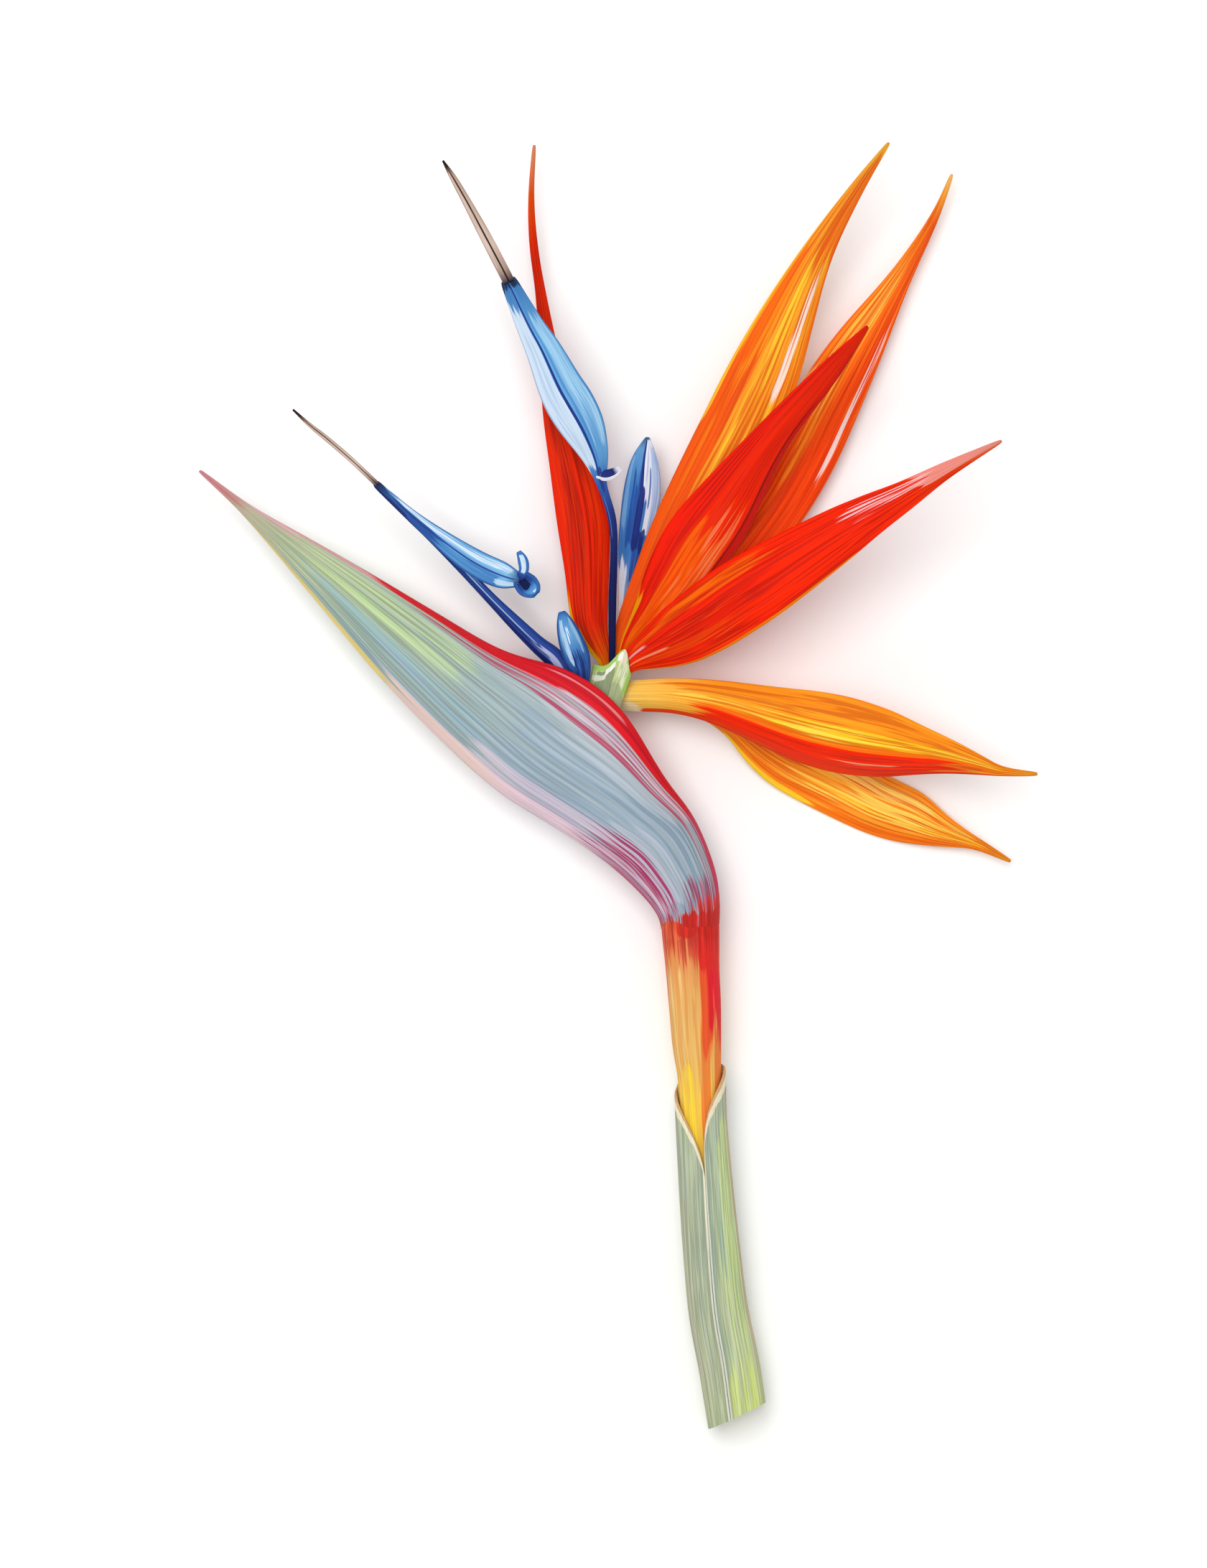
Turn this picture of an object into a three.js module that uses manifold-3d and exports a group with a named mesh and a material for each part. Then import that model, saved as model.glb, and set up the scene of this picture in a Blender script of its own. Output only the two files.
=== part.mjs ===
// A cut bird of paradise flower, lying on its side with the spathe's beak to the left.
// X runs across the flower, Y up the stem and Z up from the surface. Millimetres.
// The stem's cut end, one side of the spathe and the lowest sepal carry it.
import * as THREE from "three";
import { mergeVertices } from "three/addons/utils/BufferGeometryUtils.js";
import Module from "manifold-3d";

const wasm = await Module();
wasm.setup();

// Driving dimensions
const MID_PLANE = 10.45; // height of the flower's plane of symmetry
const SEPAL_THICKNESS = 0.8;
const PETAL_THICKNESS = 0.9;
const TIP_HALF_WIDTH = 0.2;
const SPATHE_WALL = 1.0;
const SHEATH_WALL = 0.75;
const BRACTLET_WALL = 0.7;
const SEAT_GAP = 0.3;
const KEEL_PINCH = 0.28; // how far the spathe's sides draw in at its keel
const SHOULDER_Y = -31.8; // where the spathe's rim meets the stalk
const SHOULDER_TILT = 0.35; // rise of the rim's right end, and fall of its left
const NOTCH_Y = -88.4; // foot of the notch in the sheath's mouth
const MOUTH_LEFT = { side: 21, power: 0.42 }; // its rise at the side, and how steeply
const MOUTH_RIGHT = { side: 26, power: 0.27 };
const MOUTH_BACK = 28; // its rise at the back
const SEAM_HALF_GAP = 0.03; // radians
const SEAM_TURN = 0.25; // radians to the left at the cut end
const CUT_CENTRE = [26.4, -140.1];
const CUT_SLOPE = 25; // degrees by which the cut end rises to the right

const FINISHES = {
  redSepal: { color: "#e2240a", roughness: 0.5 },
  orangeSepal: { color: "#f47f14", roughness: 0.5 },
  bluePetal: { color: "#4a93cf", roughness: 0.45 },
  stigma: { color: "#b49a8c", roughness: 0.6 },
  spathe: { color: "#9fb0b0", roughness: 0.55 },
  stalk: { color: "#e7a04c", roughness: 0.5 },
  sheath: { color: "#a9bd96", roughness: 0.6 },
  innerBract: { color: "#b7cf8c", roughness: 0.55 },
};

function vector(x, y, z) {
  return new THREE.Vector3(x, y, z);
}

// A smooth curve through places [x, y, lift above the mid-plane].
function curveThrough(stations) {
  const places = stations.map(([x, y, lift]) => vector(x, y, MID_PLANE + lift));
  return new THREE.CatmullRomCurve3(places, false, "centripetal");
}

// One value that runs smoothly through the stations, such as a half-width.
function valueThrough(stations, column) {
  const values = stations.map((s) => vector(s[column] ?? 0, 0, 0));
  const curve = new THREE.CatmullRomCurve3(values, false, "catmullrom", 0.5);
  return (t) => curve.getPoint(t).x;
}

function geometryOf(points, triangles) {
  const geometry = new THREE.BufferGeometry().setFromPoints(points);
  geometry.setIndex(triangles.flat());
  return geometry;
}

function signedVolume(points, triangles) {
  return triangles.reduce((sum, [a, b, c]) => {
    const normal = vector().crossVectors(points[b], points[c]);
    return sum + points[a].dot(normal) / 6;
  }, 0);
}

// The body's faces, turned round where they point inwards.
function facingOut(points, triangles) {
  const inward = signedVolume(points, triangles) < 0;
  const turned = inward ? triangles.map(([a, b, c]) => [a, c, b]) : triangles;
  return geometryOf(points, turned);
}

// A closed body between a front and a back grid of points, split alike on both faces.
function sheetBody(front, back) {
  const rows = front.length;
  const columns = front[0].length;
  const points = [...front.flat(), ...back.flat()];
  const triangles = [];
  const at = (i, j) => i * columns + j;
  const behind = rows * columns;
  const quad = (a, b, c, d) => triangles.push([a, b, c], [a, c, d]);
  for (let i = 0; i < rows - 1; i++) {
    for (let j = 0; j < columns - 1; j++) {
      const [a, b, c, d] = [at(i, j), at(i + 1, j), at(i + 1, j + 1), at(i, j + 1)];
      triangles.push([a, b, c], [a, c, d]);
      triangles.push([a + behind, c + behind, b + behind]);
      triangles.push([a + behind, d + behind, c + behind]);
    }
    const last = columns - 1;
    quad(at(i + 1, 0), at(i, 0), at(i, 0) + behind, at(i + 1, 0) + behind);
    quad(at(i, last), at(i + 1, last), at(i + 1, last) + behind, at(i, last) + behind);
  }
  for (let j = 0; j < columns - 1; j++) {
    const end = rows - 1;
    quad(at(0, j), at(0, j + 1), at(0, j + 1) + behind, at(0, j) + behind);
    quad(at(end, j + 1), at(end, j), at(end, j) + behind, at(end, j + 1) + behind);
  }
  return facingOut(points, triangles);
}

// A closed body through rings of points, with flat ends.
function ringBody(rings) {
  const sides = rings[0].length;
  const points = rings.flat();
  const triangles = [];
  for (let i = 0; i < rings.length - 1; i++) {
    for (let j = 0; j < sides; j++) {
      const k = (j + 1) % sides;
      const [a, b] = [i * sides + j, i * sides + k];
      triangles.push([a, b, b + sides], [a, b + sides, a + sides]);
    }
  }
  const cap = (ring, turn) => {
    const centre = points.length;
    const sum = rings[ring].reduce((s, p) => s.add(p), vector(0, 0, 0));
    points.push(sum.divideScalar(sides));
    for (let j = 0; j < sides; j++) {
      const [a, b] = [ring * sides + j, ring * sides + ((j + 1) % sides)];
      triangles.push(turn ? [centre, b, a] : [centre, a, b]);
    }
  };
  cap(0, true);
  cap(rings.length - 1, false);
  return facingOut(points, triangles);
}

function solidOf(geometry) {
  const bare = new THREE.BufferGeometry();
  bare.setAttribute("position", geometry.getAttribute("position"));
  bare.setIndex(geometry.index);
  const merged = mergeVertices(bare, 1e-4);
  return new wasm.Manifold(
    new wasm.Mesh({
      numProp: 3,
      vertProperties: merged.attributes.position.array,
      triVerts: new Uint32Array(merged.index.array),
    }),
  );
}

function geometryFrom(solid) {
  const mesh = solid.getMesh();
  const geometry = new THREE.BufferGeometry();
  geometry.setAttribute("position", new THREE.BufferAttribute(mesh.vertProperties, 3));
  geometry.setIndex(new THREE.BufferAttribute(mesh.triVerts, 1));
  return geometry;
}

function joined(...geometries) {
  return geometryFrom(geometries.map(solidOf).reduce((all, one) => all.add(one)));
}

function without(geometry, waste) {
  return geometryFrom(solidOf(geometry).subtract(solidOf(waste)));
}

// What lies below the surface is cut off flat, which gives the piece its resting spot.
function restingOnSurface(geometry) {
  const size = 500;
  const ground = new THREE.BoxGeometry(size, size, size);
  return without(geometry, ground.translate(0, 0, -size / 2));
}

// The frame of a midrib at t: its place, its side (to the right going out) and its face.
function midribFrame(curve, t, rollDegrees) {
  const place = curve.getPoint(t);
  const along = curve.getTangent(t);
  const flatSide = vector(along.y, -along.x, 0).normalize();
  const face = vector().crossVectors(flatSide, along);
  const roll = THREE.MathUtils.degToRad(rollDegrees);
  const side = flatSide
    .clone()
    .multiplyScalar(Math.cos(roll))
    .addScaledVector(face, Math.sin(roll));
  return { place, side, face: vector().crossVectors(side, along).normalize() };
}

// A petal blade. A station is [x, y, lift, half-width, roll in degrees].
// Arch and crease raise the midrib above the margins, as shares of the half-width.
function blade({ stations, thickness, arch = 0.3, crease = 0.1, rows = 20, columns = 4 }) {
  const midrib = curveThrough(stations);
  const halfWidth = valueThrough(stations, 3);
  const roll = valueThrough(stations, 4);
  const face = (towards) =>
    Array.from({ length: rows + 1 }, (_, i) => {
      const t = i / rows;
      const w = Math.max(halfWidth(t), TIP_HALF_WIDTH);
      const frame = midribFrame(midrib, t, roll(t));
      return Array.from({ length: columns + 1 }, (_, j) => {
        const across = (2 * j) / columns - 1;
        const bow = arch * (0.5 - across * across) + crease * (0.5 - Math.abs(across));
        return frame.place
          .clone()
          .addScaledVector(frame.side, across * w)
          .addScaledVector(frame.face, bow * w + (towards * thickness) / 2);
      });
    });
  return sheetBody(face(1), face(-1));
}

// A round stalk, ovary or stigma. A station is [x, y, lift, half-width].
function roundRod({ stations, sides = 10, rows = 8 }) {
  const axis = curveThrough(stations);
  const radius = valueThrough(stations, 3);
  const rings = Array.from({ length: rows + 1 }, (_, i) => {
    const t = i / rows;
    const r = Math.max(radius(t), TIP_HALF_WIDTH);
    const frame = midribFrame(axis, t, 0);
    return Array.from({ length: sides }, (_, j) => {
      const angle = (2 * Math.PI * j) / sides;
      return frame.place
        .clone()
        .addScaledVector(frame.side, r * Math.cos(angle))
        .addScaledVector(frame.face, r * Math.sin(angle));
    });
  });
  return ringBody(rings);
}

// The cut stalk's centre line from the cut end up to the spathe, with the half-widths of
// the stalk itself and of the sheath round it.
const STEM = [
  [27.4, -146.0, 6.45 - MID_PLANE, 5.4, 6.8],
  [24.8, -129.2, 6.75 - MID_PLANE, 5.5, 6.9],
  [23.0, -120.4, 7.05 - MID_PLANE, 5.4, 6.8],
  [21.8, -112.4, 7.4 - MID_PLANE, 5.2, 6.65],
  [20.2, -96.4, 8.1 - MID_PLANE, 4.9, 6.3],
  [19.2, -84.0, 8.7 - MID_PLANE, 4.7, 6.0],
  [18.5, -74.0, 9.2 - MID_PLANE, 4.7, 5.8],
  [18.1, -64.4, 9.6 - MID_PLANE, 4.95, 5.85],
  [17.5, -57.0, 9.9 - MID_PLANE, 5.55, 6.0],
  [17.1, -48.4, 10.15 - MID_PLANE, 5.9, 6.0],
  [16.6, -40.4, 10.35 - MID_PLANE, 6.1, 6.0],
  [16.1, SHOULDER_Y, 0, 6.55, 6.0],
];
// The receptacle, the stalk's narrower end inside the spathe.
const RECEPTACLE = [
  [16.1, SHOULDER_Y - 0.5, 0, 4.6],
  [15.9, -28.5, 0, 4.5],
  [14.6, -24.6, 0, 4.0],
  [12.9, -21.6, 0, 3.5],
];

function stalk() {
  return joined(
    roundRod({ stations: STEM, sides: 16, rows: 24 }),
    roundRod({ stations: RECEPTACLE, rows: 5 }),
  );
}

// The knife left one flat, slanting end on the stalk and the sheath together.
function cutOff(geometry) {
  const size = 60;
  const waste = new THREE.BoxGeometry(size, size, size);
  waste.translate(0, -size / 2, 0);
  waste.rotateZ(THREE.MathUtils.degToRad(CUT_SLOPE));
  waste.translate(CUT_CENTRE[0], CUT_CENTRE[1], MID_PLANE);
  return without(geometry, waste);
}

// How far the sheath's mouth stands above its notch, at an angle from the seam.
function mouthRise(fromSeam, { side, power }) {
  const quarter = Math.PI / 2;
  if (fromSeam <= quarter) return side * (fromSeam / quarter) ** power;
  return side + (MOUTH_BACK - side) * Math.cos(fromSeam) ** 2;
}

// The sheath is a leaf base rolled round the stalk. Its two margins meet at a seam that
// faces up and turns a little to the left towards the cut end.
function sheath() {
  const axis = curveThrough(STEM);
  const inner = valueThrough(STEM, 3);
  const outer = valueThrough(STEM, 4);
  const startY = STEM[0][1];
  const rows = 18;
  const columns = 22;
  const crowding = 1.7; // columns stand closer together beside the seam
  const wall = (outside) =>
    Array.from({ length: rows + 1 }, (_, i) =>
      Array.from({ length: columns + 1 }, (_, j) => {
        const share = (2 * j) / columns - 1;
        const reach = (1 - Math.abs(share)) ** crowding;
        const fromSeam = SEAM_HALF_GAP + (Math.PI - SEAM_HALF_GAP) * reach;
        const topY = NOTCH_Y + mouthRise(fromSeam, share < 0 ? MOUTH_LEFT : MOUTH_RIGHT);
        const u = ((i / rows) * (topY - startY)) / (SHOULDER_Y - startY);
        const t = axis.getUtoTmapping(u);
        const { place, side, face } = midribFrame(axis, t, 0);
        const lining = inner(t) + SEAT_GAP;
        const r = outside ? Math.max(outer(t), lining + SHEATH_WALL) : lining;
        const angle = Math.sign(share || 1) * fromSeam - SEAM_TURN * (1 - i / rows);
        return place
          .addScaledVector(side, r * Math.sin(angle))
          .addScaledVector(face, r * Math.cos(angle));
      }),
    );
  return sheetBody(wall(true), wall(false));
}

// The spathe, a stiff folded bract. A station is
// [keel x, keel y, margin x, margin y, half-thickness, half-angle of the slit].
const RIM_Y = SHOULDER_Y + SEAT_GAP;
const SPATHE = [
  [9.6, RIM_Y - SHOULDER_TILT, 22.6, RIM_Y + SHOULDER_TILT, 6.5, 0.03],
  [8.9, -28.9, 22.7, -25.0, 6.8, 0.03],
  [6.4, -25.2, 21.5, -17.4, 7.6, 0.03],
  [0.8, -19.6, 17.1, -6.6, 9.0, 0.06],
  [-5.8, -14.4, 10.4, 2.8, 10.2, 0.35],
  [-15.6, -8.0, 1.0, 17.6, 10.7, 0.7],
  [-27.0, -0.8, -10.4, 26.2, 10.2, 0.66],
  [-40.0, 10.9, -25.8, 31.0, 8.6, 0.3],
  [-53.8, 25.3, -41.0, 39.6, 6.6, 0.12],
  [-65.4, 39.2, -56.0, 48.5, 4.6, 0.1],
  [-76.0, 51.9, -70.4, 56.6, 2.8, 0.1],
  [-84.6, 61.8, -81.6, 62.9, 1.5, 0.1],
  [-93.7, 70.5, -93.1, 71.1, 0.7, 0.1],
];
// One cross-section of the spathe, from one margin round the keel to the other.
function spatheSection(t, inset, columns) {
  const [keelX, keelY, marginX, marginY, halfThickness, halfSlit] = SPATHE[0].map(
    (_, column) => valueThrough(SPATHE, column)(t),
  );
  const keel = vector(keelX, keelY, MID_PLANE);
  const margin = vector(marginX, marginY, MID_PLANE);
  const centre = keel.clone().add(margin).divideScalar(2);
  const up = margin.clone().sub(keel).normalize();
  const halfHeight = keel.distanceTo(margin) / 2 - inset;
  const slit = Math.max(halfSlit, SEAM_HALF_GAP);
  return Array.from({ length: columns + 1 }, (_, j) => {
    const angle = slit + ((2 * Math.PI - 2 * slit) * j) / columns;
    const height = Math.cos(angle);
    const pinch = height < 0 ? 1 - KEEL_PINCH * height * height : 1;
    const rise = height > 0 ? height / Math.cos(slit) : height;
    return centre
      .clone()
      .addScaledVector(up, halfHeight * rise)
      .add(vector(0, 0, (halfThickness - inset) * pinch * Math.sin(angle)));
  });
}

function spathe() {
  const rows = 30;
  const columns = 16;
  const beakRow = 25; // beyond this row the beak is solid
  const sections = (inset) =>
    Array.from({ length: rows + 1 }, (_, i) => spatheSection(i / rows, inset, columns));
  const outside = sections(0);
  const inside = sections(SPATHE_WALL);
  const shell = sheetBody(outside.slice(0, beakRow + 1), inside.slice(0, beakRow + 1));
  return restingOnSurface(joined(shell, ringBody(outside.slice(beakRow - 1))));
}

// The small folded bract round the flowers' bases, open to the right, its near margin
// drawn up into a point. Its section is squarer than an ellipse.
function bractlet() {
  const foot = vector(-4.6, 13.6, MID_PLANE);
  const mouth = vector(-0.9, 26.3, MID_PLANE);
  const footHalf = { width: 4.2, depth: 4.6 };
  const mouthHalf = { width: 4.9, depth: 5.4 };
  const squareness = 0.6;
  const halfOpening = 0.55; // radians
  const point = { height: 4.6, angle: 1.35, spread: 0.42 };
  const rows = 8;
  const columns = 14;
  const length = foot.distanceTo(mouth);
  const up = mouth.clone().sub(foot).normalize();
  const across = vector(up.y, -up.x, 0);
  const wall = (inset) =>
    Array.from({ length: rows + 1 }, (_, i) =>
      Array.from({ length: columns + 1 }, (_, j) => {
        const t = i / rows;
        const angle = halfOpening + ((2 * Math.PI - 2 * halfOpening) * j) / columns;
        const rise = point.height * Math.exp(-(((angle - point.angle) / point.spread) ** 2));
        const width = THREE.MathUtils.lerp(footHalf.width, mouthHalf.width, t) - inset;
        const depth = THREE.MathUtils.lerp(footHalf.depth, mouthHalf.depth, t) - inset;
        const sine = Math.sin(angle);
        return foot
          .clone()
          .addScaledVector(up, t * (length + rise))
          .addScaledVector(across, width * Math.cos(angle))
          .add(vector(0, 0, depth * Math.sign(sine) * Math.abs(sine) ** squareness));
      }),
    );
  return sheetBody(wall(0), wall(BRACTLET_WALL));
}

// The ovaries and their stalks inside the spathe: [x, y, lift, half-width].
const OVARIES = {
  ovary_1: [
    [14.2, -20.6, 0, 1.4],
    [12.6, -17.6, 0, 1.6],
    [8.6, -9.0, 0, 1.9],
    [1.6, 3.6, 0, 2.4],
    [-4.0, 13.4, 0, 2.4],
    [-3.1, 18.6, 0, 2.3],
    [-1.0, 24.1, 0, 2.1],
  ],
  ovary_2: [
    [11.3, -22.1, 0, 1.4],
    [9.4, -18.6, 0.2, 1.6],
    [3.4, -10.4, 0.4, 1.9],
    [-4.2, -0.4, 0.8, 2.2],
    [-10.4, 10.4, 1.0, 2.3],
    [-11.1, 19.9, 1.0, 1.8],
  ],
};

// The seven sepals. A station is [x, y, lift, half-width, roll in degrees].
const SEPALS = {
  sepal_1: {
    finish: "redSepal",
    stations: [
      [-2.1, 25.2, 0.1, 0.7, 0],
      [-3.2, 29.2, 0.1, 1.6, -2],
      [-6.2, 36.4, 0, 3.9, -5],
      [-6.8, 47.6, -0.5, 4.9, -10],
      [-7.7, 60.4, -1.0, 6.0, -12],
      [-10.5, 73.2, -1.6, 4.9, -12],
      [-13.8, 86.0, -2.2, 3.2, -10],
      [-17.0, 108.4, -3.0, 1.25, -6],
      [-18.9, 121.2, -3.2, 0.95, 0],
      [-19.4, 132.4, -3.2, 0.65, 0],
      [-18.7, 143.6, -3.0, 0.25, 0],
    ],
  },
  sepal_2: {
    finish: "orangeSepal",
    stations: [
      [0.2, 25.3, 0, 0.8],
      [0.1, 30.3, 0.1, 1.3],
      [1.9, 36.1, 0.3, 2.4],
      [6.2, 43.1, 0.8, 4.3],
      [12.3, 54.3, 1.6, 6.3],
      [19.2, 66.3, 2.6, 7.7],
      [26.2, 78.9, 3.6, 8.4],
      [32.2, 91.8, 4.6, 8.0],
      [38.0, 105.6, 5.4, 5.9],
      [44.6, 119.6, 6.2, 3.3],
      [53.1, 133.4, 7.0, 1.5],
      [60.3, 143.6, 7.6, 0.25],
    ],
  },
  sepal_3: {
    finish: "orangeSepal",
    stations: [
      [0.6, 25.2, -2.5, 0.9, 0],
      [3.8, 28.1, -2.8, 1.2, 0],
      [8.6, 32.6, -3.3, 2.2, 2],
      [16.6, 41.2, -4.0, 4.4, 4],
      [25.4, 51.6, -4.6, 6.4, 6],
      [33.4, 62.0, -5.0, 7.6, 8],
      [40.4, 74.2, -5.4, 8.1, 8],
      [46.6, 86.2, -5.6, 7.4, 8],
      [53.8, 99.0, -5.8, 5.7, 6],
      [62.7, 113.5, -6.0, 2.5, 4],
      [70.5, 127.1, -6.0, 0.9, 0],
      [74.6, 137.2, -5.8, 0.25, 0],
    ],
  },
  sepal_4: {
    finish: "redSepal",
    stations: [
      [0.4, 25.4, 1.35, 0.8, 0],
      [1.7, 31.1, 1.6, 1.3, 0],
      [4.0, 35.0, 2.4, 2.4, -2],
      [7.8, 39.4, 4.2, 4.6, -5],
      [12.3, 45.6, 6.2, 6.9, -8],
      [17.3, 53.4, 8.0, 8.0, -8],
      [23.2, 61.6, 9.6, 7.5, -8],
      [33.8, 77.4, 12.4, 4.1, -6],
      [46.2, 91.7, 14.8, 2.5, -2],
      [55.4, 102.5, 16.0, 0.25, 0],
    ],
  },
  sepal_5: {
    finish: "redSepal",
    stations: [
      [1.0, 25.5, 2.55, 1.2, 0],
      [3.3, 28.5, 3.35, 2.6, 0],
      [11.4, 32.8, 7.2, 6.4, 3],
      [18.5, 37.0, 10.2, 7.8, 6],
      [25.9, 42.0, 12.8, 8.3, 8],
      [33.8, 46.9, 14.8, 7.9, 8],
      [47.4, 55.5, 17.6, 6.2, 8],
      [55.5, 60.4, 18.4, 4.7, 6],
      [63.8, 65.2, 19.6, 3.4, 4],
      [72.3, 70.5, 20.6, 2.2, 0],
      [85.0, 76.9, 21.6, 0.25, 0],
    ],
  },
  sepal_6: {
    finish: "orangeSepal",
    stations: [
      [1.2, 20.6, 0.3, 2.7, 0],
      [5.2, 20.6, 1.2, 3.5, 0],
      [12.5, 20.5, 2.6, 3.9, -4],
      [21.8, 19.0, 4.2, 5.0, -8],
      [33.9, 15.5, 6.2, 7.0, -12],
      [41.1, 13.5, 7.4, 8.1, -14],
      [49.6, 11.6, 8.4, 8.5, -14],
      [58.9, 10.0, 9.0, 7.5, -12],
      [66.1, 8.7, 9.2, 6.0, -10],
      [73.3, 7.3, 9.2, 4.1, -6],
      [80.3, 5.4, 9.0, 2.3, 0],
      [85.4, 3.7, 8.8, 0.9, 0],
      [93.3, 3.1, 8.6, 0.25, 0],
    ],
  },
  sepal_7: {
    finish: "orangeSepal",
    stations: [
      [1.4, 20.2, -2.2, 1.1],
      [5.4, 20.0, -2.6, 1.3],
      [12.6, 18.8, -3.6, 1.5],
      [19.8, 17.0, -4.8, 1.8],
      [26.0, 14.0, -6.0, 3.0],
      [30.5, 11.0, -6.8, 4.9],
      [36.8, 6.8, -7.8, 6.6],
      [44.2, 3.2, -8.4, 7.2],
      [51.4, -0.2, -8.65, 7.4],
      [58.2, -3.9, -8.6, 6.8],
      [65.0, -6.9, -8.2, 5.6],
      [71.0, -9.7, -7.6, 3.4],
      [77.6, -11.8, -7.2, 1.6],
      [81.4, -13.2, -6.9, 0.9],
      [87.2, -16.1, -6.6, 0.25],
    ],
    rests: true,
  },
};

// The fused blue petals: a narrow claw that widens into an arrow head, then the stigma.
// A station is [x, y, lift, half-width].
const ARROW_UPPER = [
  [-1.5, 25.6, 1.7, 0.5],
  [-1.35, 31.1, 1.9, 0.6],
  [-1.3, 42.2, 2.8, 0.75],
  [-0.9, 53.7, 4.2, 0.65],
  [-1.5, 60.6, 5.4, 0.8],
  [-3.7, 67.6, 6.8, 1.0],
  [-5.0, 73.4, 8.0, 2.9],
  [-7.5, 79.6, 9.4, 4.8],
  [-10.4, 84.8, 10.4, 5.4],
  [-13.0, 89.4, 11.0, 5.0],
  [-16.6, 97.2, 12.0, 3.9],
  [-19.7, 102.8, 12.8, 3.0],
  [-24.3, 112.3, 13.8, 1.7],
];
const ARROW_UPPER_LIP = [
  [-5.0, 69.9, 7.2, 0.8],
  [-2.8, 69.4, 7.6, 1.2],
  [-0.6, 70.2, 7.8, 1.0],
  [0.6, 71.2, 7.9, 0.4],
];
const STIGMA_UPPER = [
  [-24.6, 112.9, 13.9, 1.45],
  [-29.4, 122.2, 14.6, 1.35],
  [-33.6, 130.0, 15.0, 1.05],
  [-36.6, 135.3, 15.2, 0.8],
  [-38.9, 139.1, 15.2, 0.25],
];
const ARROW_LOWER_CLAW = [
  [-10.2, 21.2, 1.0, 1.9],
  [-13.7, 28.2, 1.6, 2.2],
  [-17.8, 31.8, 2.4, 1.8],
  [-22.6, 36.4, 3.4, 1.5],
  [-28.0, 41.8, 4.4, 1.1],
  [-34.1, 48.2, 5.4, 1.0],
  [-41.1, 55.6, 6.4, 1.0],
  [-45.9, 60.4, 7.0, 1.1],
  [-53.6, 67.6, 7.8, 0.95],
];
const ARROW_LOWER_WING = [
  [-49.5, 63.9, 7.3, 0.8],
  [-46.4, 61.4, 7.2, 1.1],
  [-41.6, 57.6, 7.2, 1.7],
  [-35.4, 53.0, 7.4, 2.6],
  [-30.4, 50.0, 7.6, 3.0],
  [-25.6, 47.9, 7.8, 2.9],
  [-21.8, 46.6, 7.8, 1.4],
];
const ARROW_LOWER_EAR = [
  [-22.4, 46.3, 7.8, 0.8],
  [-21.0, 48.2, 8.0, 1.0],
  [-21.2, 50.6, 8.2, 1.1],
  [-22.2, 52.6, 8.2, 0.4],
];
const ARROW_LOWER_CURL = [
  [-22.6, 47.6, 7.8, 1.6],
  [-20.4, 45.2, 8.0, 2.5],
  [-18.8, 43.6, 8.6, 1.6],
];
const STIGMA_LOWER = [
  [-54.0, 68.0, 7.85, 0.85],
  [-59.4, 73.0, 8.2, 0.8],
  [-65.0, 77.8, 8.4, 0.75],
  [-68.5, 80.6, 8.4, 0.55],
  [-72.3, 84.1, 8.4, 0.25],
];
const ARROW_BACK = [
  [-0.1, 25.6, -1.2, 0.6],
  [0.7, 32.4, -1.6, 0.8],
  [1.3, 41.0, -2.2, 1.0],
  [2.4, 47.6, -2.4, 2.3],
  [3.4, 54.0, -2.4, 3.4],
  [4.5, 60.4, -2.4, 4.0],
  [5.4, 66.8, -2.4, 4.1],
  [5.9, 73.2, -2.4, 2.9],
  [6.6, 78.3, -2.4, 0.3],
];
const FREE_PETAL = [
  [-8.3, 21.9, 3.5, 1.0],
  [-8.2, 25.2, 4.2, 1.9],
  [-9.1, 28.7, 5.2, 2.8],
  [-10.4, 32.4, 6.0, 2.7],
  [-11.7, 36.2, 6.8, 1.9],
  [-12.6, 39.3, 7.4, 0.5],
];

function petal(stations, shape = {}) {
  return blade({ stations, thickness: PETAL_THICKNESS, ...shape });
}

function upperArrow() {
  return joined(
    petal(ARROW_UPPER, { arch: 0.1, crease: 0.4 }),
    petal(ARROW_UPPER_LIP, { rows: 5, columns: 2 }),
  );
}

function lowerArrow() {
  return joined(
    petal(ARROW_LOWER_CLAW, { arch: 0.5, crease: 0.2, rows: 16 }),
    petal(ARROW_LOWER_WING, { arch: 0.1, crease: 0.35, rows: 10 }),
    petal(ARROW_LOWER_EAR, { rows: 5, columns: 2 }),
    petal(ARROW_LOWER_CURL, { arch: -0.5, crease: 0, rows: 5 }),
  );
}

const flower = new THREE.Group();

function addPiece(name, geometry, finish) {
  const material = new THREE.MeshStandardMaterial({ metalness: 0, ...FINISHES[finish] });
  const mesh = new THREE.Mesh(geometry, material);
  mesh.name = name;
  flower.add(mesh);
}

addPiece("stalk", cutOff(stalk()), "stalk");
addPiece("sheath", restingOnSurface(cutOff(sheath())), "sheath");
addPiece("spathe", spathe(), "spathe");
addPiece("bractlet", bractlet(), "innerBract");
for (const [name, stations] of Object.entries(OVARIES)) {
  addPiece(name, roundRod({ stations }), "innerBract");
}
for (const [name, { stations, finish, rests }] of Object.entries(SEPALS)) {
  const shape = blade({ stations, thickness: SEPAL_THICKNESS });
  addPiece(name, rests ? restingOnSurface(shape) : shape, finish);
}
addPiece("arrow_petals_upper", upperArrow(), "bluePetal");
addPiece("arrow_petals_lower", lowerArrow(), "bluePetal");
addPiece("arrow_petals_back", petal(ARROW_BACK, { arch: 0.1, crease: 0.4 }), "bluePetal");
addPiece("free_petal", petal(FREE_PETAL, { arch: 0.6, rows: 8 }), "bluePetal");
addPiece("stigma_upper", roundRod({ stations: STIGMA_UPPER, sides: 8 }), "stigma");
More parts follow.
